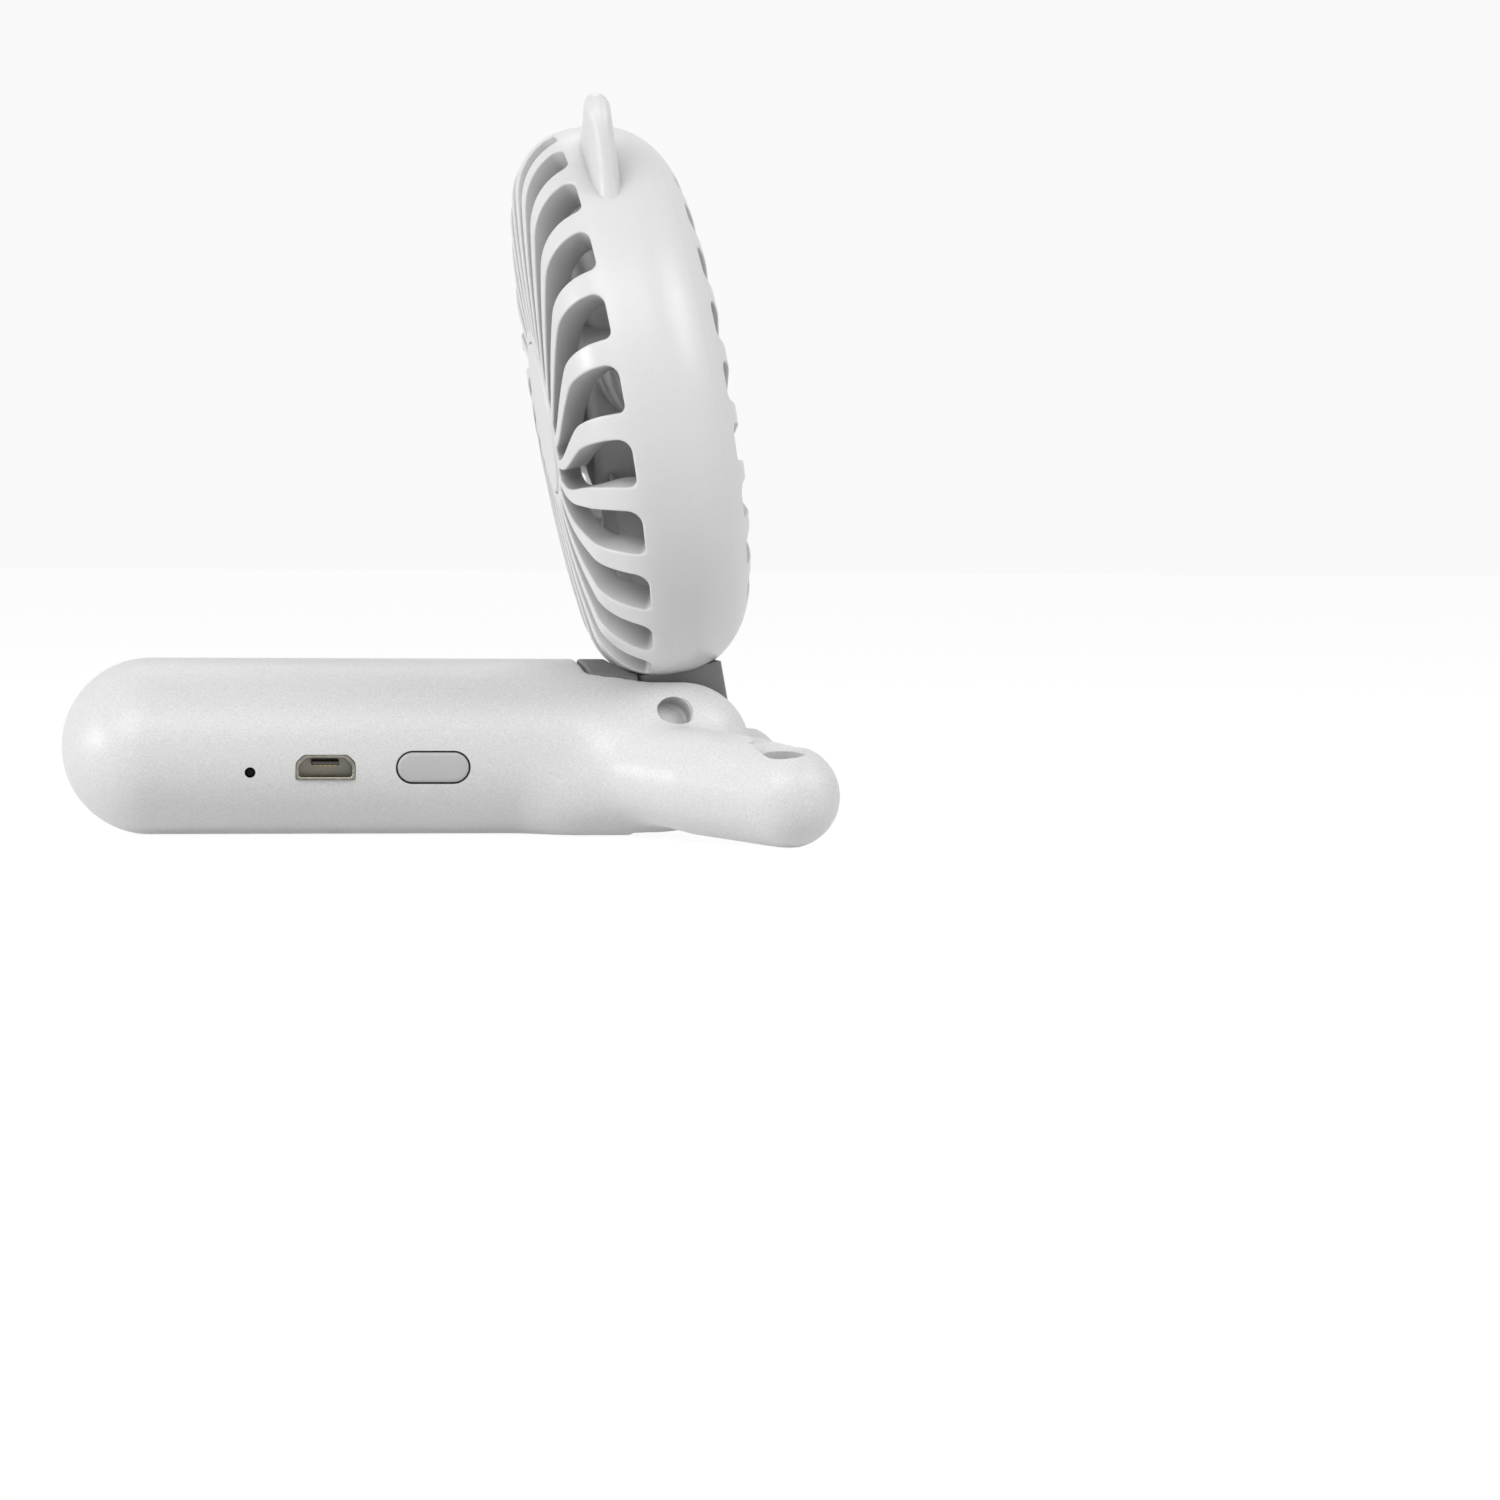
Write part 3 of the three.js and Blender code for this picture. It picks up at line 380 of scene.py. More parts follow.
def mesh_object(name, points, faces, place):
    """A mesh from points in millimetres, moved by place and scaled to metres."""
    matrix = np.array(place)
    moved = np.asarray(points, float) @ matrix[:3, :3].T + matrix[:3, 3]
    mesh = bpy.data.meshes.new(name)
    mesh.from_pydata((moved * MM).tolist(), [], [tuple(int(i) for i in f) for f in faces])
    mesh.validate()
    thing = bpy.data.objects.new(name, mesh)
    bpy.context.scene.collection.objects.link(thing)
    return thing


def neaten(thing):
    """Welds doubles and turns the faces outward."""
    work = bmesh.new()
    work.from_mesh(thing.data)
    bmesh.ops.remove_doubles(work, verts=work.verts, dist=0.000002)
    bmesh.ops.dissolve_degenerate(work, edges=work.edges, dist=0.0000005)
    bmesh.ops.recalc_face_normals(work, faces=work.faces)
    work.to_mesh(thing.data)
    work.free()


def show(thing, body, material, stands_for=(), sharp=38.0):
    """Shades a piece and hands it to its body."""
    for polygon in thing.data.polygons:
        polygon.use_smooth = True
    thing.data.set_sharp_from_angle(angle=math.radians(sharp))
    thing.data.materials.clear()
    thing.data.materials.append(material)
    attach(thing, body)
    if stands_for:
        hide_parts(*stands_for)


def applied(thing):
    """Makes the modifiers' result the piece's own mesh."""
    bpy.context.view_layer.update()
    graph = bpy.context.evaluated_depsgraph_get()
    mesh = bpy.data.meshes.new_from_object(thing.evaluated_get(graph))
    thing.modifiers.clear()
    old = thing.data
    thing.data = mesh
    bpy.data.meshes.remove(old)


def carve(thing, cutters, way="DIFFERENCE"):
    """Cuts closed meshes out of a closed mesh, or joins them to it."""
    for cutter in cutters:
        neaten(cutter)
        tool = thing.modifiers.new("cut", "BOOLEAN")
        tool.operation = way
        tool.solver = "EXACT"
        tool.object = cutter
    applied(thing)
    neaten(thing)
    for cutter in cutters:
        mesh = cutter.data
        bpy.data.objects.remove(cutter)
        bpy.data.meshes.remove(mesh)


def rings_skin(rings):
    """Points and faces of a skin over rings of equal count, with a flat cap at each end."""
    count = len(rings[0])
    points = [p for r in rings for p in r]
    faces = []
    for i in range(len(rings) - 1):
        for j in range(count):
            k = (j + 1) % count
            faces.append((i * count + j, i * count + k, (i + 1) * count + k, (i + 1) * count + j))
    faces.append(tuple(range(count))[::-1])
    faces.append(tuple(range((len(rings) - 1) * count, len(rings) * count)))
    return points, faces


def turned(profile, sides):
    """A closed solid of revolution about Z of (radius, height) points that start and end on the axis."""
    points = [(0.0, 0.0, profile[0][1])]
    for radius, height in profile[1:-1]:
        for k in range(sides):
            turn = 2 * math.pi * k / sides
            points.append((radius * math.cos(turn), radius * math.sin(turn), height))
    points.append((0.0, 0.0, profile[-1][1]))
    last = len(points) - 1
    rows = len(profile) - 2
    faces = []
    for k in range(sides):
        n = (k + 1) % sides
        faces.append((0, 1 + n, 1 + k))
        for i in range(rows - 1):
            low = 1 + i * sides
            faces.append((low + k, low + n, low + sides + n, low + sides + k))
        top = 1 + (rows - 1) * sides
        faces.append((top + k, top + n, last))
    return points, faces


def rod(radius, low, high):
    """Profile of a plain rod about the axis."""
    return [(0, low), (radius, low), (radius, high), (0, high)]


def arc(centre_r, centre_z, radius, start, end, steps):
    """Points of an arc in the radius and height plane, angles in degrees."""
    found = []
    for k in range(steps + 1):
        angle = math.radians(start + (end - start) * k / steps)
        found.append((centre_r + radius * math.cos(angle), centre_z + radius * math.sin(angle)))
    return found


def aim(direction):
    """A turn that takes +Z to a direction."""
    return Vector((0, 0, 1)).rotation_difference(Vector(direction)).to_matrix().to_4x4()


# Handle


def smooth_min(a, b, reach):
    share = np.clip(0.5 + 0.5 * (b - a) / reach, 0, 1)
    return b + (a - b) * share - reach * share * (1 - share)


def smooth_max(a, b, reach):
    return -smooth_min(-a, -b, reach)


def squareness(x):
    """What the underside adds to the oval's power of 2 at a place along the handle."""
    found = np.full_like(x, SQUARE_ADDS[-1])
    for i in range(len(SQUARE_PLACES) - 1):
        start, end = SQUARE_PLACES[i], SQUARE_PLACES[i + 1]
        share = np.clip((x - start) / (end - start), 0, 1)
        eased = share * share * (3 - 2 * share)
        here = (x >= start) & (x < end)
        found[here] = SQUARE_ADDS[i] + (SQUARE_ADDS[i + 1] - SQUARE_ADDS[i]) * eased[here]
    found[x < SQUARE_PLACES[0]] = SQUARE_ADDS[0]
    return found


def oval_distance(x, y, z):
    """About the distance to the handle's oval, negative inside."""
    tail_reach = (-TAIL + HALF_HEIGHT - x) / HALF_HEIGHT
    nose_reach = (x - NOSE_CENTRE) / NOSE_LENGTH
    end = np.maximum(0, np.maximum(tail_reach, nose_reach))
    end_slope = np.where(tail_reach > nose_reach, 1 / HALF_HEIGHT, 1 / NOSE_LENGTH)
    power = 2 + np.where(z < 0, squareness(x), 0)
    across = np.abs(y) / HALF_WIDTH
    upward = np.abs(z) / HALF_HEIGHT
    small = 1e-9
    norm = (across**power + upward**power + small) ** (1 / power)
    whole = np.sqrt(end**2 + norm**2 + small)
    slope_y = (across / norm) ** (power - 1) / HALF_WIDTH * norm / whole
    slope_z = (upward / norm) ** (power - 1) / HALF_HEIGHT * norm / whole
    slope_x = end / whole * end_slope
    return (whole - 1) / np.sqrt(slope_x**2 + slope_y**2 + slope_z**2 + small)


def finger_distance(p, start, end, start_radius, end_radius):
    along = end - start
    share = np.clip(((p - start) @ along) / (along @ along), 0, 1)
    reach = np.linalg.norm(p - (start + share[:, None] * along), axis=1)
    return reach - (start_radius + (end_radius - start_radius) * share)


def notch_distance(x, y, edge, inset=0.0):
    """About the distance to the notch between the fork arms, which widens from its floor."""
    narrow = np.clip((NOTCH_TAPER - NOTCH_REACH - x) / (NOTCH_TAPER - NOTCH_BOW), 0, 1)
    half = NOTCH_HALF - inset - NOTCH_NARROWING * narrow
    floor = -NOTCH_REACH + inset + NOTCH_BOW * (y / (NOTCH_HALF - NOTCH_NARROWING)) ** 2
    return smooth_max(np.abs(y) - half, floor - x, edge)


def handle_distance(p):
    """About the distance to the outside of the handle, negative inside. The notch has a floor behind."""
    x, y, z = p[:, 0], p[:, 1], p[:, 2]
    folded = np.stack([x, np.abs(y), z], axis=1)
    root, ball = np.array(LEG_ROOT), np.array(BALL)
    middle = root + (ball - root) * LEG_MIDDLE_REACH / np.linalg.norm(ball - root)
    leg = np.minimum(
        finger_distance(folded, root, middle, LEG_ROOT_RADIUS, LEG_MIDDLE_RADIUS),
        finger_distance(folded, middle, ball, LEG_MIDDLE_RADIUS, BALL_RADIUS),
    )
    body = smooth_min(oval_distance(x, y, z), leg, LEG_BLEND)
    floor = np.minimum(-FLOOR_FRONT - x, FLOOR_TOP - z)
    notch = smooth_max(notch_distance(x, y, NOTCH_EDGE), floor, BLOCK_EDGE)
    body = smooth_max(body, -notch, NOTCH_EDGE)
    return smooth_max(body, DESK_LEVEL - z, DESK_EDGE)


def head_distance(p):
    """About the distance to the outside of the head at rest, from points about the hinge."""
    back = np.array((Matrix.Translation(-Vector(HINGE)) @ place_drum).inverted())
    own = p @ back[:3, :3].T + back[:3, 3]
    reach, height = np.hypot(own[:, 0], own[:, 1]), own[:, 2]
    rim = HEAD_FRONT - FRONT_CROWN
    flat = np.maximum(np.maximum(height - rim, -height - HEAD_FRONT), reach - HEAD_RADIUS)
    for corner, side, face in ((FRONT_CORNER, 1, rim), (REAR_CORNER, -1, HEAD_FRONT)):
        across = reach - HEAD_RADIUS + corner
        deep = side * height - face + corner
        at_corner = (across > 0) & (deep > 0)
        flat = np.where(at_corner, np.hypot(across, deep) - corner, flat)
    return flat


def block_distance(p):
    """About the distance to the grey block between the rear of the notch and the leaning neck."""
    x, y, z = p[:, 0], p[:, 1], p[:, 2]
    front = x + BLOCK_FRONT + math.tan(math.radians(HEAD_LEAN)) * np.maximum(z, 0)
    body = smooth_max(notch_distance(x, y, BLOCK_EDGE, BLOCK_GAP), oval_distance(x, y, z), BLOCK_EDGE)
    body = smooth_max(body, front, BLOCK_SHARP)
    body = smooth_max(body, BLOCK_CLEARANCE - head_distance(p), BLOCK_SHARP)
    return smooth_max(body, FLOOR_TOP + BLOCK_GAP - z, BLOCK_EDGE)


def slope_of(distance, p, step=0.02):
    slope = np.empty_like(p)
    for axis in range(3):
        move = np.zeros(3)
        move[axis] = step
        slope[:, axis] = (distance(p + move) - distance(p - move)) / (2 * step)
    return slope


def net_over(distance, low, high, size):
    """A quad net over the surface where a distance is zero, drawn onto it and evened out."""
    axes = [np.arange(a, b + size, size) for a, b in zip(low, high)]
    shape = tuple(len(a) for a in axes)
    mesh = np.stack(np.meshgrid(*axes, indexing="ij"), axis=-1).reshape(-1, 3)
    values = np.concatenate([distance(part) for part in np.array_split(mesh, 24)]).reshape(shape)
    inside = values < 0
    corners = [(i, j, k) for i in (0, 1) for j in (0, 1) for k in (0, 1)]

    def corner_view(array, corner):
        return array[tuple(slice(c, n - 1 + c) for c, n in zip(corner, shape))]

    total = sum(corner_view(inside, c).astype(np.int8) for c in corners)
    cells = np.argwhere((total > 0) & (total < 8))
    number = np.full(tuple(n - 1 for n in shape), -1, np.int64)
    number[tuple(cells.T)] = np.arange(len(cells))
    summed = np.zeros((len(cells), 3))
    crossings = np.zeros(len(cells))
    for first in corners:
        for axis in range(3):
            if first[axis]:
                continue
            second = tuple(c + (1 if a == axis else 0) for a, c in enumerate(first))
            va = values[tuple((cells + first).T)]
            vb = values[tuple((cells + second).T)]
            crossing = (va < 0) != (vb < 0)
            share = np.where(crossing, va / np.where(crossing, va - vb, 1), 0)
            spot = cells + np.array(first, float)
            spot[:, axis] += share
            summed[crossing] += spot[crossing]
            crossings[crossing] += 1
    points = np.array([a[0] for a in axes]) + size * summed / crossings[:, None]
    faces = []
    for axis in range(3):
        one, two = (axis + 1) % 3, (axis + 2) % 3
        ahead = tuple(slice(1, None) if a == axis else slice(None) for a in range(3))
        behind = tuple(slice(None, -1) if a == axis else slice(None) for a in range(3))
        for spot in np.argwhere(inside[ahead] != inside[behind]):
            around = []
            for da, db in ((-1, -1), (0, -1), (0, 0), (-1, 0)):
                cell = spot.copy()
                cell[one] += da
                cell[two] += db
                around.append(number[tuple(cell)])
            if not inside[tuple(spot)]:
                around.reverse()
            faces.append(around)
    faces = np.array(faces)
    ends = np.concatenate([faces[:, [i, (i + 1) % 4]] for i in range(4)])
    for _ in range(4):
        mean = np.zeros_like(points)
        count = np.zeros(len(points))
        np.add.at(mean, ends[:, 0], points[ends[:, 1]])
        np.add.at(count, ends[:, 0], 1)
        points = 0.4 * points + 0.6 * mean / count[:, None]
        for _ in range(2):
            slope = slope_of(distance, points)
            steep = np.maximum((slope**2).sum(1), 0.2)
            points = points - slope * (np.clip(distance(points), -size, size) / steep)[:, None]
    return points, faces


def side_at(height):
    """Distance from the seam plane to the handle's outside."""
    return HALF_WIDTH * math.sqrt(1 - (height / HALF_HEIGHT) ** 2)


def stadium(length, height, steps=20):
    """An outline in X and Z, anticlockwise seen from the right side of the handle."""
    radius = height / 2
    reach = length / 2 - radius
    found = []
    for middle, start in ((reach, -90), (-reach, 90)):
        for k in range(steps + 1):
            turn = math.radians(start + 180 * k / steps)
            found.append((middle + radius * math.cos(turn), radius * math.sin(turn)))
    return found


def usb_outline(width, height, corner, round_steps=5):
    """The socket's outline, with sloping upper corners and every corner eased."""
    side, top = width / 2, height / 2
    hard = [
        (-side, -top), (side, -top), (side, top - corner),
        (side - corner, top), (-side + corner, top), (-side, top - corner),
    ]
    ease = 0.45
    found = []
    for i, here in enumerate(hard):
        here = Vector(here)
        before = here + (Vector(hard[i - 1]) - here).normalized() * ease
        after = here + (Vector(hard[(i + 1) % len(hard)]) - here).normalized() * ease
        for k in range(round_steps + 1):
            t = k / round_steps
            found.append(tuple(before * (1 - t) ** 2 + here * 2 * t * (1 - t) + after * t * t))
    return found


def push(name, outline, x, z, y0, y1):
    """An outline in X and Z pushed along Y."""
    rings = [[(x + a, y, z + b) for a, b in outline] for y in (y0, y1)]
    return mesh_object(name, *rings_skin(rings), place_hinge)


def drill(name, profile, at, direction):
    """A turned cutter whose own height runs along a direction."""
    place = place_hinge @ Matrix.Translation(Vector(at)) @ aim(direction)
    return mesh_object(name, *turned(profile, 48), place)


def well_place(side):
    """Where the shoulder well's mouth lies, and the direction out of it."""
    share = math.sqrt(1 - max(0, (-WELL_BACK - NOSE_CENTRE) / NOSE_LENGTH) ** 2)
    y = side * HALF_WIDTH * share * math.sqrt(1 - (WELL_HEIGHT / (HALF_HEIGHT * share)) ** 2)
    outward = Vector((0, y / HALF_WIDTH**2, WELL_HEIGHT / HALF_HEIGHT**2)).normalized()
    outward.x = WELL_TILT
    return (-WELL_BACK, y, WELL_HEIGHT), outward.normalized()


def flared(radius, depth, lip, out):
    """Profile of a blind hole's cutter: an eased floor, and a lip that opens at the mouth."""
    ease = 0.5
    floor = arc(radius - ease, -depth + ease, ease, -90, 0, 5)
    turns = np.linspace(0, math.pi / 2, 6)
    mouth = [(radius + lip * (1 - math.cos(t)), -lip + lip * math.sin(t)) for t in turns]
    return [(0, -depth), *floor, *mouth, (radius + lip, out), (0, out)]


def handle():
    """The two halves of the handle with their holes, and the block in the notch."""
    low = (-TAIL - NET_ROOM, -BALL[1] - BALL_RADIUS - NET_ROOM, -HALF_HEIGHT - NET_ROOM)
    high = (BALL[0] + BALL_RADIUS + NET_ROOM, BALL[1] + BALL_RADIUS + NET_ROOM, HALF_HEIGHT + NET_ROOM)
    whole = mesh_object("handle_whole", *net_over(handle_distance, low, high, NET_SIZE), place_hinge)
    neaten(whole)
    cutters = []
    for side in (-1, 1):
        at, outward = well_place(side)
        cutters.append(drill("well", flared(WELL_RADIUS, WELL_DEPTH, WELL_LIP, HOLE_OUTSIDE), at, outward))
        eye = rod(EYE_RADIUS, EYE_DRILL_LOW, EYE_DRILL_HIGH)
        x, y = BALL[0] - EYE_BACK, side * (BALL[1] + EYE_OUTWARD)
        cutters.append(drill("eye", eye, (x, y, BALL[2] + EYE_TOP), (0, side * EYE_LEAN, 1)))
        turns = np.linspace(0, math.pi / 2, 10)
        lip = [(EYE_RADIUS + EYE_LIP * (1 - math.cos(t)), EYE_LIP * math.sin(t)) for t in turns]
        below = [(0, EYE_MOUTH_LOW), (EYE_RADIUS, EYE_MOUTH_LOW)]
        above = [(EYE_RADIUS + EYE_LIP, EYE_DRILL_HIGH), (0, EYE_DRILL_HIGH)]
        cutters.append(drill("mouth", [*below, *lip, *above], (x, y, BALL[2] + EYE_MOUTH), (0, 0, 1)))
    outside = -HALF_WIDTH - HOLE_OUTSIDE
    gap = 2 * BUTTON_GAP
    usb_hole = usb_outline(USB_WIDTH + gap, USB_HEIGHT + gap, USB_CORNER)
    usb_floor = -HALF_WIDTH + USB_HOLE_DEPTH
    cutters.append(push("usb_hole", usb_hole, -USB_BACK, -PORT_DROP, outside, usb_floor))
    button_hole = stadium(BUTTON_LENGTH, BUTTON_HEIGHT)
    button_floor = -HALF_WIDTH + BUTTON_HOLE_DEPTH
    cutters.append(push("button_hole", button_hole, -BUTTON_BACK, -PORT_DROP, outside, button_floor))
    led = rod(LED_RADIUS, -LED_HOLE_DEPTH, HOLE_OUTSIDE)
    cutters.append(drill("led_hole", led, (-LED_BACK, -side_at(LED_DROP), -LED_DROP), (0, -1, 0)))
    screw_well = rod(SCREW_WELL_RADIUS, CASE_SEAT, HALF_WIDTH + HOLE_OUTSIDE)
    for back, height in CASE_SCREWS:
        cutters.append(drill("screw_well", screw_well, (-back, 0, height), (0, 1, 0)))
    carve(whole, cutters)
    for side, name in ((-1, "right"), (1, "left")):
        half = bpy.data.objects.new("handle_half_" + name, whole.data.copy())
        bpy.context.scene.collection.objects.link(half)
        part_at_seam(half, side)
        show(half, "handle", white, ["handle_shell_" + name], 30)
    bpy.data.objects.remove(whole)
    low = (-NOTCH_REACH - BLOCK_ROOM, -NOTCH_HALF - NET_ROOM, -HALF_HEIGHT - NET_ROOM)
    high = (-BLOCK_FRONT + NET_ROOM, NOTCH_HALF + NET_ROOM, HALF_HEIGHT + NET_ROOM)
    block = mesh_object("hinge_filler", *net_over(block_distance, low, high, NET_SIZE / 2), place_hinge)
    neaten(block)
    show(block, "handle", grey, ["hinge_block"], 40)


def part_at_seam(half, side):
    """Keeps one side of the handle and closes its cut with a flat face."""
    work = bmesh.new()
    work.from_mesh(half.data)
    geometry = work.verts[:] + work.edges[:] + work.faces[:]
    at = Vector((0, side * SEAM_HALF * MM, 0))
    away = (0, -side, 0)
    bmesh.ops.bisect_plane(work, geom=geometry, dist=1e-7, plane_co=at, plane_no=away, clear_outer=True)
    bmesh.ops.holes_fill(work, edges=[e for e in work.edges if e.is_boundary], sides=0)
    bmesh.ops.recalc_face_normals(work, faces=work.faces)
    work.to_mesh(half.data)
    work.free()


handle()


def pressed_cap(outline, depths, insets, x, z, bulge):
    """Rings of a cap over an outline: each ring is drawn in by an inset and stands at a depth."""
    count = len(outline)
    flat = [Vector(p) for p in outline]
    rings = []
    for inset, depth in zip(insets, depths):
        ring = []
        for i in range(count):
            tangent = (flat[(i + 1) % count] - flat[i - 1]).normalized()
            inward = Vector((-tangent.y, tangent.x))
            spot = flat[i] + inward * inset
            ring.append((x + spot.x, -(bulge(z + spot.y) + depth), z + spot.y))
        rings.append(ring)
    return rings


def button():
    """The button's cap, which follows the bulge of the handle's side."""
    outline = stadium(BUTTON_LENGTH - 2 * BUTTON_GAP, BUTTON_HEIGHT - 2 * BUTTON_GAP, 24)
    turns = np.linspace(0, math.pi / 2, 7)
    face_insets = (0.9, 1.3, 1.7)
    insets = [0.0, *(BUTTON_EDGE * (1 - np.cos(turns))), *face_insets]
    edge = BUTTON_PROUD - BUTTON_EDGE + BUTTON_EDGE * np.sin(turns)
    depths = [-BUTTON_SKIRT, *edge, *(BUTTON_PROUD for _ in face_insets)]
    rings = pressed_cap(outline, depths, insets, -BUTTON_BACK, -PORT_DROP, side_at)
    cap = mesh_object("button_cap", *rings_skin(rings), place_hinge)
    neaten(cap)
    show(cap, "button", button_white, ["power_button"])


button()


def usb_shell(mouth):
    """The socket's metal shell with its flared lip. Mouth is where the lip lies along Y."""
    stations = []
    for t in np.linspace(0, math.pi / 2, 5):
        stations.append((USB_LIP * (1 - math.sin(t)), mouth + USB_LIP * (1 - math.cos(t)) * 1.5))
    outer = [*stations, (0.0, mouth + USB_DEPTH)]
    inner = [(grow - USB_WALL, y) for grow, y in stations] + [(-USB_WALL, mouth + USB_INNER_DEPTH)]
    rings = []
    for grow, y in [*outer[::-1], *inner]:
        size = 2 * grow
        outline = usb_outline(USB_WIDTH + size, USB_HEIGHT + size, USB_CORNER)
        rings.append([(-USB_BACK + a, y, -PORT_DROP + b) for a, b in outline])
    shell = mesh_object("usb_shell", *rings_skin(rings), place_hinge)
    neaten(shell)
    show(shell, "handle", nickel, ["usb_socket_shell"])


def usb_tongue(mouth):
    """The tongue in the socket, with an eased front end."""
    rings = []
    for inset, step in zip((TONGUE_EDGE, 0.0, 0.0), TONGUE_STATIONS):
        half, low, high = TONGUE_HALF - inset, TONGUE_LOW + inset, TONGUE_HIGH - inset
        ring = [(-half, low), (half, low), (half, high), (-half, high)]
        rings.append([(-USB_BACK + a, mouth + step, -PORT_DROP + b) for a, b in ring])
    tongue = mesh_object("usb_tongue", *rings_skin(rings), place_hinge)
    neaten(tongue)
    show(tongue, "handle", tongue_grey, ["usb_socket_tongue"], 20)


def usb_contacts(mouth):
    """The contacts under the tongue."""
    outline = [
        (-CONTACT_HALF, CONTACT_LOW), (CONTACT_HALF, CONTACT_LOW),
        (CONTACT_HALF, CONTACT_HIGH), (-CONTACT_HALF, CONTACT_HIGH),
    ]
    points, faces = [], []
    for k in range(CONTACT_COUNT):
        x = -USB_BACK + (k - CONTACT_COUNT // 2) * CONTACT_PITCH
        rings = [[(x + a, mouth + step, -PORT_DROP + b) for a, b in outline] for step in CONTACT_ENDS]
        more, these = rings_skin(rings)
        faces += [tuple(i + len(points) for i in f) for f in these]
        points += more
    contacts = mesh_object("usb_contacts", points, faces, place_hinge)
    neaten(contacts)
    show(contacts, "handle", brass, (), 20)


usb_mouth = -side_at(PORT_DROP) + USB_RECESS
usb_shell(usb_mouth)
usb_tongue(usb_mouth)
usb_contacts(usb_mouth)


# Head


def bezier(a, b, c, steps):
    found = []
    for k in range(steps + 1):
        t = k / steps
        found.append(tuple(a[i] * (1 - t) ** 2 + b[i] * 2 * t * (1 - t) + c[i] * t * t for i in (0, 1)))
    return found


def front_outline():
    """Radius and height from the hub's edge over the front face and the band to the rear seam."""
    corner = (HEAD_RADIUS - FRONT_CORNER, HEAD_FRONT - FRONT_CROWN - FRONT_CORNER)
    join = arc(*corner, FRONT_CORNER, CROWN_START, CROWN_START, 1)[0]
    slope = math.tan(math.radians(90 - CROWN_START))
    control = (join[0] - (HEAD_FRONT - join[1]) / slope, HEAD_FRONT)
    rear = (HEAD_RADIUS - REAR_CORNER, -HEAD_FRONT + REAR_CORNER)
    end = math.degrees(math.asin((SEAM_LEVEL + SEAM_GAP / 2 - rear[1]) / REAR_CORNER))
    face = bezier((HUB_RADIUS, HEAD_FRONT), control, join, 60)
    bend = arc(*corner, FRONT_CORNER, CROWN_START, 0, 60)
    back = arc(*rear, REAR_CORNER, 0, end, 40)
    return [(CAP_RADIUS + CAP_GAP, HEAD_FRONT), *face, *bend[1:], *back]


def rear_outline():
    """Radius and height from the rear hub's middle over the rear face to the seam."""
    rear = (HEAD_RADIUS - REAR_CORNER, -HEAD_FRONT + REAR_CORNER)
    end = math.degrees(math.asin((SEAM_LEVEL - SEAM_GAP / 2 - rear[1]) / REAR_CORNER))
    corner = arc(*rear, REAR_CORNER, -90, end, 60)
    return [(REAR_HOLE_RADIUS, -HEAD_FRONT), (HUB_RADIUS, -HEAD_FRONT), *corner]


def swirl(radius):
    """How far a slot has swung at a radius, clockwise seen from the front."""
    inward = max(0, SWIRL_START - radius)
    return math.radians(-inward * (SWIRL_RATE + SWIRL_GROWTH * inward))


def round_in(radius, reach):
    """How far a round corner of a radius draws back at a distance from its end."""
    if reach >= radius:
        return 0.0
    return radius - math.sqrt(max(0, radius**2 - (radius - max(0, reach)) ** 2))


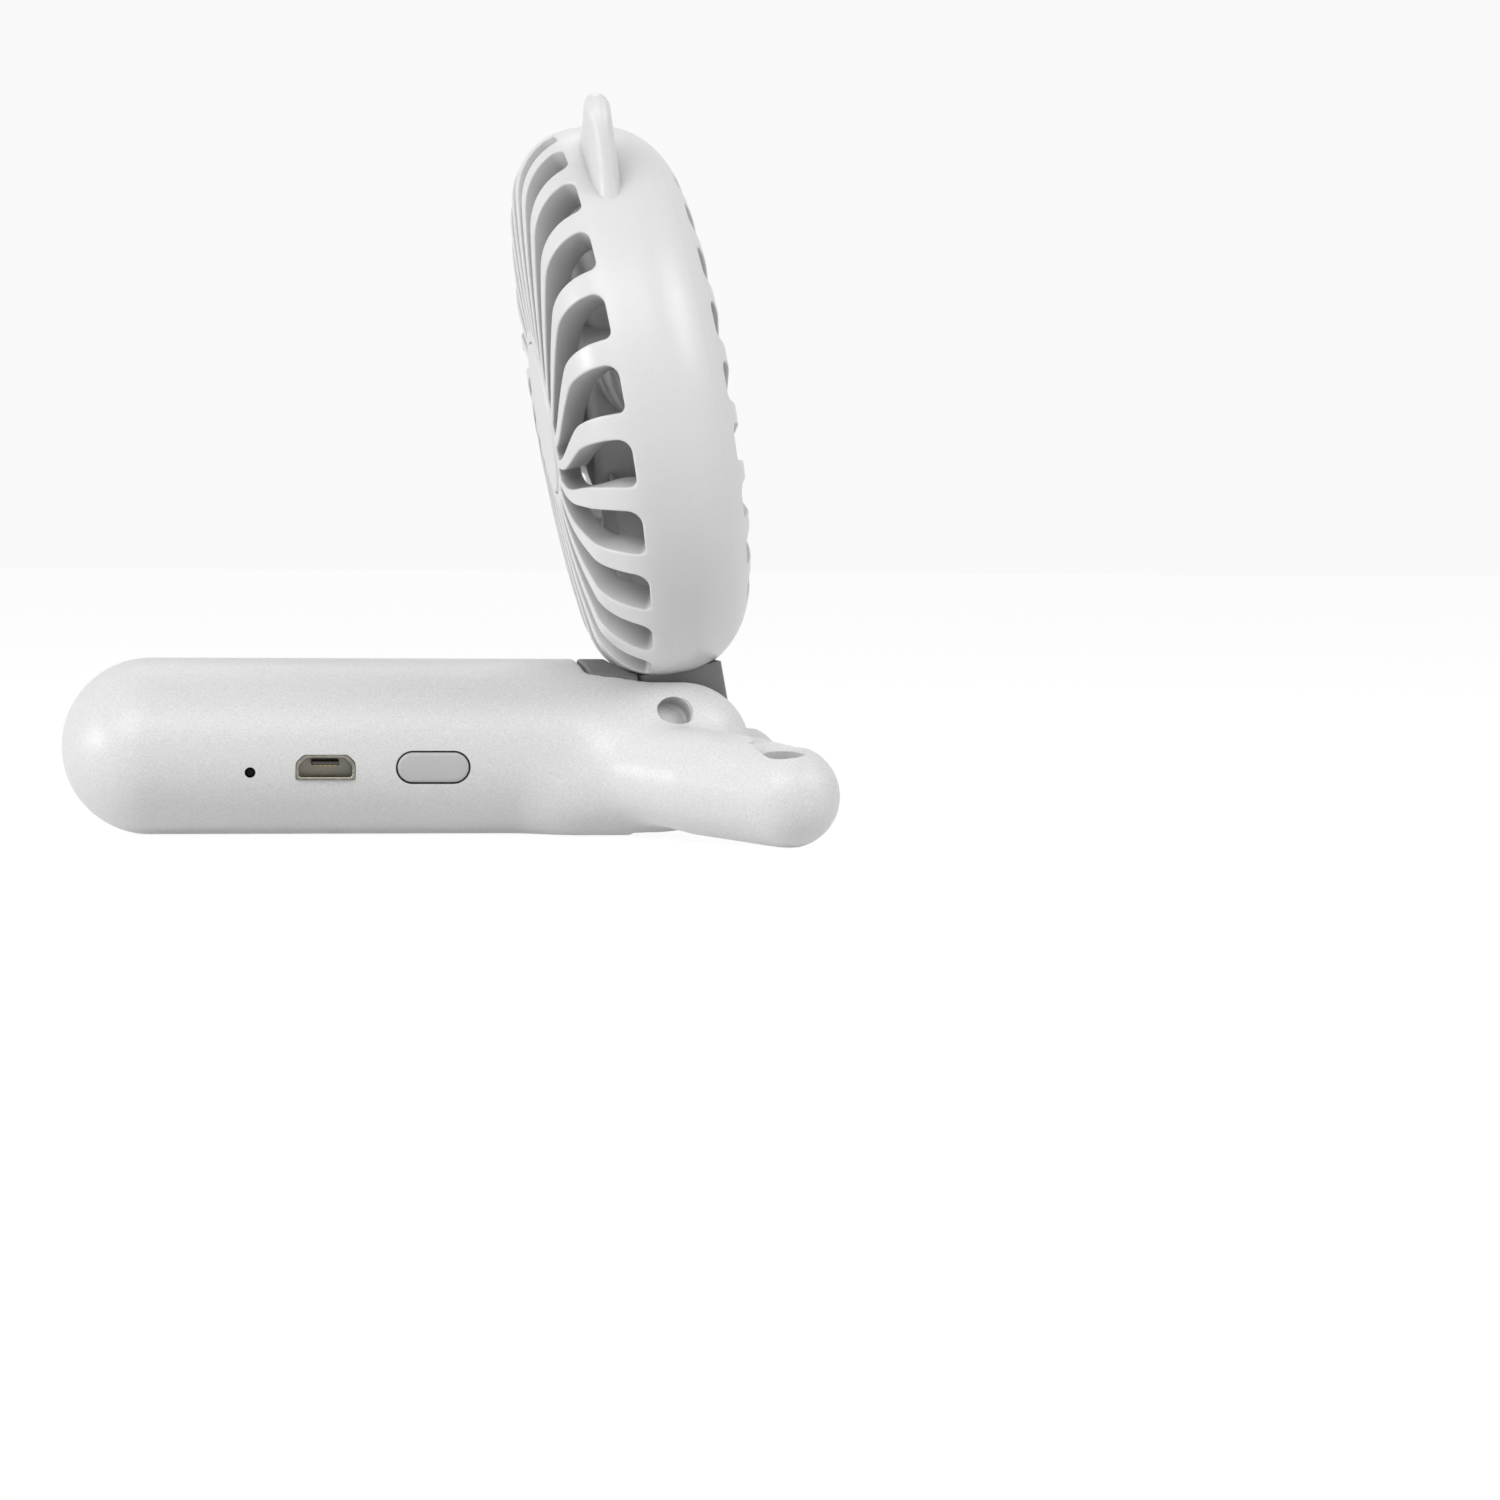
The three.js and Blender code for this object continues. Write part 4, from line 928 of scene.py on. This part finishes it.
def grille(name, outline, reaches_end, forward):
    """A shell of revolution with the swirl of slots in it. Forward is 1 for the front and -1 for the rear.

    The slots run from the hub to the first place where reaches_end says so.
    """
    line = np.array(outline)
    steps = np.linalg.norm(np.diff(line, axis=0), axis=1)
    run = np.concatenate([[0], np.cumsum(steps)])
    length = run[-1]

    def along(s):
        return np.array([np.interp(s, run, line[:, 0]), np.interp(s, run, line[:, 1])])

    def outward(s):
        change = along(min(s + 0.3, length)) - along(max(s - 0.3, 0))
        normal = np.array([-change[1], change[0]]) * forward
        return normal / np.linalg.norm(normal)

    def depth(s):
        outer = (along(s)[0] - DEEPER_FROM) / (HEAD_RADIUS - DEEPER_FROM)
        share = min(1, max(0, outer)) if forward > 0 else 0
        return FACE_DEPTH + (RIM_DEPTH - FACE_DEPTH) * share * share * (3 - 2 * share)

    fine = np.linspace(0, length, 4000)
    spots = np.array([along(s) for s in fine])
    slot_start = fine[np.argmax(spots[:, 0] >= SLOT_INNER)]
    slot_end = fine[np.argmax(reaches_end(spots[:, 0], spots[:, 1]))]
    pitch = 2 * math.pi / SLOT_COUNT

    def half_slot(s):
        """Half the slot's width, without its round corners."""
        radius = along(min(max(s, slot_start), slot_end))[0]
        outer = min(1, (radius - SLOT_INNER) / (SWIRL_START - SLOT_INNER))
        return radius * pitch * (SLOT_SHARE_HUB + (SLOT_SHARE_RIM - SLOT_SHARE_HUB) * outer) / 2

    inner_round = 0.92 * half_slot(slot_start)
    outer_round = {1: UPPER_CORNER, -1: LOWER_CORNER}

    def half_open(s, side):
        """Half the slot's width towards one side, drawn in at the round corners."""
        s = min(max(s, slot_start), slot_end)
        drawn_in = round_in(inner_round, s - slot_start) + round_in(outer_round[side], slot_end - s)
        return half_slot(s) - drawn_in

    def edge_distance(s, a):
        """Distance from the slot's edge; a is millimetres from the slot's middle."""
        radius = inner_round if s < (slot_start + slot_end) / 2 else outer_round[1 if a > 0 else -1]
        qa = abs(a) - half_slot(s) + radius
        qs = max(slot_start - s, s - slot_end) + radius
        return math.hypot(max(qa, 0), max(qs, 0)) + min(max(qa, qs), 0) - radius

    ease = 1 - np.cos(np.linspace(0, math.pi / 2, 7))
    rows_in = slot_start + inner_round * ease
    ends = sorted({*(UPPER_CORNER * ease), *(LOWER_CORNER * ease)})
    rows_out = slot_end - np.array(ends)[::-1]
    middle = np.linspace(rows_in[-1], rows_out[0], 34)[1:-1]
    slot_rows = [*rows_in, *middle, *rows_out]
    past_end = EDGE_STEPS[1:]
    before = [slot_start - d for d in past_end[::-1] if slot_start - d > 0.05]
    after = [slot_end + d for d in past_end if slot_end + d < length - 0.3]
    band = np.linspace(after[-1], length, max(3, int((length - after[-1]) / 0.9) + 2))[1:]
    rows = [0.0, *before, *slot_rows, *after, *band]
    first_slot = 1 + len(before)
    last_slot = first_slot + len(slot_rows) - 1
    flats = (0.25, 0.5, 0.75)
    bars = 2 * len(EDGE_STEPS) + 1
    points, index = [], {}

    def add(key, s, angle, down):
        spot = along(s) - outward(s) * down
        points.append((spot[0] * math.cos(angle), spot[0] * math.sin(angle), spot[1]))
        index[key] = len(points) - 1

    for i, s in enumerate(rows):
        radius = along(s)[0]
        at_slot = along(min(max(s, slot_start), slot_end))[0]
        low = -pitch / 2 + half_open(s, 1) / at_slot
        high = pitch / 2 - half_open(s, -1) / at_slot
        edge = min(BAR_EDGE, 0.42 * (high - low) * radius)
        near_edge = [min(d, 0.45 * (high - low) * radius) / radius for d in EDGE_STEPS]
        across = [*(low + d for d in near_edge), (low + high) / 2, *(high - d for d in near_edge[::-1])]
        offsets = [("bar", j, offset) for j, offset in enumerate(across)]
        if i <= first_slot or i >= last_slot:
            offsets += [("slot", j, high + (pitch + low - high) * f) for j, f in enumerate(flats)]
        for k in range(SLOT_COUNT):
            centre = math.radians(SLOT_TURN) + (k + 0.5) * pitch + swirl(radius)
            for kind, j, offset in offsets:
                from_slot = offset + pitch / 2 if kind == "bar" and j < bars // 2 else offset - pitch / 2
                reach = edge_distance(s, from_slot * radius)
                add((i, k, kind, j, 0), s, centre + offset, round_in(edge, reach))
                add((i, k, kind, j, 1), s, centre + offset, depth(s) - round_in(0.6 * edge, reach))
    faces = []

    def row_keys(i, k, layer, with_slot):
        keys = [(i, k, "bar", j, layer) for j in range(bars)]
        if with_slot:
            keys += [(i, k, "slot", j, layer) for j in range(len(flats))]
            keys.append((i, (k + 1) % SLOT_COUNT, "bar", 0, layer))
        return keys

    def strip(one, two):
        for a in range(len(one) - 1):
            faces.append((index[one[a]], index[one[a + 1]], index[two[a + 1]], index[two[a]]))

    for k in range(SLOT_COUNT):
        for i in range(len(rows) - 1):
            inside_slot = first_slot <= i < last_slot
            for layer in (0, 1):
                strip(row_keys(i, k, layer, not inside_slot), row_keys(i + 1, k, layer, not inside_slot))
            if inside_slot:
                for j in (0, bars - 1):
                    strip(*([(row, k, "bar", j, layer) for layer in (0, 1)] for row in (i, i + 1)))
        for i in (first_slot, last_slot):
            strip(row_keys(i, k, 0, True)[bars - 1:], row_keys(i, k, 1, True)[bars - 1:])
        for i in (0, len(rows) - 1):
            strip(row_keys(i, k, 0, True), row_keys(i, k, 1, True))
    thing = mesh_object(name, points, faces, place_drum)
    neaten(thing)
    return thing


EAR_STATIONS = (
    (38.4, 10.4), (39.2, 9.6), (40.2, 8.7), (41.4, 7.8), (42.8, 6.95), (44.2, 6.1), (45.4, 5.35),
    (46.5, 4.6), (47.5, 3.85), (48.3, 3.05), (48.9, 2.25), (49.3, 1.5), (49.52, 0.8), (49.6, 0.05),
)
EAR_FOOT = 38.4
EAR_ROUND_FROM = 47.5
EAR_ANGLE = 33.8
EAR_TIP = 49.6
EAR_EDGE = 1.9
EAR_THINNING = 5.0
EAR_PLACES = (39.0, 44.0, 49.6)
EAR_FORWARD = (0.0, -0.4, -0.6)
EAR_HALF_THICK = (1.95, 1.9, 1.65)


def ear(side):
    """One ear as rings at growing distance from the head's middle, each a rectangle with eased corners."""
    radii = np.array([s[0] for s in EAR_STATIONS])
    widths = np.array([s[1] for s in EAR_STATIONS])
    plain = np.linspace(EAR_FOOT, EAR_ROUND_FROM, 34)
    rounded = EAR_ROUND_FROM + (EAR_TIP - EAR_ROUND_FROM) * np.sin(np.linspace(0, math.pi / 2, 10))
    rings = []
    for reach in [*plain, *rounded[1:]]:
        wide = np.interp(reach, radii, widths)
        forward = np.interp(reach, EAR_PLACES, EAR_FORWARD)
        tip = min(1.0, max(0.0, (EAR_TIP - reach) / EAR_EDGE))
        thick = np.interp(reach, EAR_PLACES, EAR_HALF_THICK) * max(0.03, math.sqrt(1 - (1 - tip) ** 2))
        ease_deep = min(EAR_EDGE, 0.98 * thick)
        ease_wide = min(EAR_THINNING, 0.98 * wide)
        ring = []
        for a, d, start in ((1, 1, 0), (-1, 1, 90), (-1, -1, 180), (1, -1, 270)):
            for k in range(9):
                turn = math.radians(start + 90 * k / 8)
                across = a * (wide - ease_wide) + ease_wide * math.cos(turn)
                deep = d * (thick - ease_deep) + ease_deep * math.sin(turn)
                angle = math.radians(90 - side * EAR_ANGLE) - across / reach
                ring.append((reach * math.cos(angle), reach * math.sin(angle), forward + deep))
        rings.append(ring)
    return rings_skin(rings)


def head():
    """The front and rear covers, the lid over the front hub and the plug in the rear hub."""

    def front_end(radius, height):
        return (radius > SWIRL_START) & (height <= FRONT_SLOT_LEVEL)

    def rear_end(radius, height):
        return radius >= REAR_SLOT_END

    front = grille("head_front", front_outline(), front_end, 1)
    carve(front, [mesh_object("ear", *ear(side), place_drum) for side in (1, -1)], "UNION")
    show(front, "head", smooth_white, ["front_shell"], 50)
    rear = grille("head_rear", rear_outline(), rear_end, -1)
    show(rear, "head", smooth_white, ["rear_grille"], 50)
    top = HEAD_FRONT + CAP_PROUD
    bottom = HEAD_FRONT - CAP_DEPTH
    cap_edge = arc(CAP_RADIUS - CAP_EDGE, top - CAP_EDGE, CAP_EDGE, 0, 90, 8)
    face = [(r, top) for r in (8.0, 5.0, 2.5)]
    lid_profile = [(0, bottom), (CAP_RADIUS, bottom), *cap_edge, *face, (0, top)]
    lid = mesh_object("hub_lid", *turned(lid_profile, 96), place_drum)
    neaten(lid)
    show(lid, "head", smooth_white, ["hub_cap"])
    plug = mesh_object("rear_hub", *turned(rod(PLUG_RADIUS, -HEAD_FRONT, PLUG_FRONT), 96), place_drum)
    neaten(plug)
    seats = []
    for side in (-1, 1):
        seat = turned(rod(SCREW_WELL_RADIUS, MOTOR_SEAT_REAR, MOTOR_SEAT), 40)
        place = place_drum @ Matrix.Translation((side * MOTOR_SCREW_REACH, 0, 0))
        seats.append(mesh_object("seat", *seat, place))
    carve(plug, seats)
    show(plug, "head", smooth_white, (), 30)


head()


def screw(name, node, body, place):
    """A pan-head screw with a cross recess; the head sits on z = 0 and the shank goes down."""
    head_top = arc(1.0, 0.5, 0.9, 0, 70, 6)
    profile = [(0, -3.0), (0.85, -3.0), (0.85, 0.0), (1.9, 0.0), *head_top, (0.6, 1.42), (0, 1.44)]
    fastener = mesh_object(name, *turned(profile, 40), place)
    neaten(fastener)
    recess = ((-1.1, -0.2), (1.1, -0.2), (1.1, 0.2), (-1.1, 0.2))
    arms = []
    for turn in (0, 90):
        arm = [[(x * s, y * s, z) for x, y in recess] for z, s in ((0.6, 0.7), (2.0, 1.0))]
        arms.append(mesh_object("arm", *rings_skin(arm), place @ Matrix.Rotation(math.radians(turn), 4, "Z")))
    carve(fastener, arms)
    show(fastener, body, steel, [node], 30)


for (back, height), node in zip(CASE_SCREWS, ("case_screw_tail", "case_screw_top", "case_screw_bottom")):
    spot = place_hinge @ Matrix.Translation((-back, CASE_SEAT + SCREW_GAP, height)) @ aim((0, 1, 0))
    screw(node.replace("case_screw", "case_fastener"), node, "handle", spot)
for side, node in ((-1, "motor_screw_1"), (1, "motor_screw_2")):
    at = (side * MOTOR_SCREW_REACH, 0, MOTOR_SEAT - SCREW_GAP)
    spot = place_drum @ Matrix.Translation(at) @ aim((0, 0, -1))
    screw(node.replace("screw", "fastener"), node, "head", spot)


def neck():
    """The grey neck under the band of the head, round about the fold hinge and eased at both ends."""
    turns = np.linspace(0, -math.pi, 40)
    below = [(NECK_RADIUS * math.cos(t), NECK_RADIUS * math.sin(t)) for t in turns]
    outline = [(NECK_RADIUS, NECK_TOP), *below, (-NECK_RADIUS, NECK_TOP)]
    step, step_inset = NECK_EDGE_STEP
    eased = ((NECK_HALF, NECK_EDGE), (NECK_HALF - step, step_inset), (NECK_HALF - NECK_EDGE, 0))
    rings = []
    for y, inset in [*((-y, inset) for y, inset in eased), *eased[::-1]]:
        shrink = (NECK_RADIUS - inset) / NECK_RADIUS
        rings.append([(a * shrink, y, b * shrink if b < 0 else b) for a, b in outline])
    block = mesh_object("neck_block", *rings_skin(rings), place_head)
    neaten(block)
    show(block, "head", grey, ["hinge_neck"])


neck()


def impeller():
    """Five cambered blades on a round hub."""
    rim = arc(10.4, 4.9, 1.6, 90, 0, 8)
    hub = [(0, 6.5), (9.0, 6.5), *rim, (12.0, -2.5), (10.8, -2.5), (10.8, 4.6), (0, 4.6)]
    points, faces = turned(hub[::-1], 72)
    for blade in range(BLADE_COUNT):
        start = 2 * math.pi * blade / BLADE_COUNT
        rings = []
        for share in np.linspace(0, 1, 22):
            radius = BLADE_ROOT + (BLADE_TIP - BLADE_ROOT) * share
            rounding = TIP_ROUNDING * share**6
            chord = ROOT_CHORD + CHORD_GROWTH * (share - rounding)
            pitch = math.radians(ROOT_PITCH - PITCH_FALL * share)
            ring = []
            for k in range(24):
                turn = 2 * math.pi * k / 24
                along = 0.5 * math.cos(turn)
                lift = CAMBER * (1 - 4 * along * along) + BLADE_HALF_THICK * math.sin(turn)
                forward = chord * along
                around = (forward * math.cos(pitch) - lift * math.sin(pitch)) / radius + start
                height = BLADE_LEVEL + forward * math.sin(pitch) + lift * math.cos(pitch)
                ring.append((radius * math.cos(around), radius * math.sin(around), height))
            rings.append(ring)
        more, these = rings_skin(rings)
        faces += [tuple(i + len(points) for i in f) for f in these]
        points = list(points) + more
    wheel = mesh_object("impeller_wheel", points, faces, place_drum)
    neaten(wheel)
    show(wheel, "rotor", impeller_white_painted_shade, ["impeller"])


impeller()

# The carried-over solids take the finish of their slot
slots = {row["node"]: row["material_slot"] for row in frame["record"]["subparts"]}
for node, solid in frame["nodes"].items():
    solid.data.materials.clear()
    solid.data.materials.append(SLOT_MATERIALS[slots[node]])


# Stage, light and camera


def plainly_seen(nodes, links):
    """1 where a surface is seen, also in a mirror or through glass, and 0 where it only gives light."""
    path = nodes.new("ShaderNodeLightPath")
    seen = path.outputs["Is Camera Ray"]
    for other in ("Is Glossy Ray", "Is Transmission Ray"):
        either = nodes.new("ShaderNodeMath")
        either.operation = "MAXIMUM"
        links.new(seen, either.inputs[0])
        links.new(path.outputs[other], either.inputs[1])
        seen = either.outputs["Value"]
    return seen


def stage():
    """A pale floor just under the desk plane, which keeps the shadow."""
    corners = [(a * STAGE_HALF, b * STAGE_HALF, 0) for a, b in ((-1, -1), (1, -1), (1, 1), (-1, 1))]
    place = Matrix.Scale(1 / MM, 4) @ Matrix.Translation((0, 0, -STAGE_DROP))
    floor = mesh_object("floor", corners, [(0, 1, 2, 3)], place)
    material, nodes, links, shader = node_material("pale_floor")
    shader.inputs["Base Color"].default_value = (STAGE_GREY, STAGE_GREY, STAGE_GREY, 1)
    shader.inputs["Roughness"].default_value = 0.9
    glow = nodes.new("ShaderNodeEmission")
    glow.inputs["Color"].default_value = (1, 1, 1, 1)
    glow.inputs["Strength"].default_value = STAGE_GLOW
    mix = nodes.new("ShaderNodeMixShader")
    share = spread(nodes, links, plainly_seen(nodes, links), GLOW_SHARE_LIT, GLOW_SHARE_SEEN, 0, 1)
    links.new(share, mix.inputs["Fac"])
    links.new(shader.outputs["BSDF"], mix.inputs[1])
    links.new(glow.outputs["Emission"], mix.inputs[2])
    links.new(mix.outputs["Shader"], nodes["Material Output"].inputs["Surface"])
    floor.data.materials.append(material)


stage()


def world():
    """A white backdrop that gives less light than it shows."""
    sky = bpy.data.worlds.new("studio")
    bpy.context.scene.world = sky
    sky.use_nodes = True
    nodes, links = sky.node_tree.nodes, sky.node_tree.links
    plain = nodes["Background"]
    plain.inputs["Color"].default_value = (1, 1, 1, 1)
    plain.inputs["Strength"].default_value = SKY_LIGHT
    seen = nodes.new("ShaderNodeBackground")
    seen.inputs["Color"].default_value = (1, 1, 1, 1)
    seen.inputs["Strength"].default_value = SKY_SEEN
    mix = nodes.new("ShaderNodeMixShader")
    links.new(plainly_seen(nodes, links), mix.inputs["Fac"])
    links.new(plain.outputs["Background"], mix.inputs[1])
    links.new(seen.outputs["Background"], mix.inputs[2])
    links.new(mix.outputs["Shader"], nodes["World Output"].inputs["Surface"])


world()


def lamp(name, at, size, power):
    """A round soft lamp that faces the fan."""
    data = bpy.data.lights.new(name, "AREA")
    data.shape = "DISK"
    data.size = size
    data.energy = power
    thing = bpy.data.objects.new(name, data)
    bpy.context.scene.collection.objects.link(thing)
    thing.location = at
    thing.rotation_euler = (Vector(LIT_POINT) - Vector(at)).to_track_quat("-Z", "Y").to_euler()


for row in LAMPS:
    lamp(*row)


def camera():
    """The photograph's own view."""
    yaw, pitch, roll = (math.radians(a) for a in CAMERA_TURNS)
    ahead = Vector((math.sin(yaw) * math.cos(pitch), math.cos(yaw) * math.cos(pitch), -math.sin(pitch)))
    level = ahead.cross(Vector((0, 0, 1))).normalized()
    up = level.cross(ahead)
    right = level * math.cos(roll) + up * math.sin(roll)
    top = up * math.cos(roll) - level * math.sin(roll)
    data = bpy.data.cameras.new("camera")
    data.sensor_width = SENSOR
    data.lens = SENSOR * FOCAL_PIXELS / PHOTO_PIXELS
    data.clip_start = 0.01
    thing = bpy.data.objects.new("camera", data)
    bpy.context.scene.collection.objects.link(thing)
    turn = Matrix((right, top, -ahead)).transposed().to_4x4()
    thing.matrix_world = Matrix.Translation(Vector(CAMERA_PLACE) * MM) @ turn
    bpy.context.scene.camera = thing


camera()
bpy.context.scene.view_settings.view_transform = "Standard"
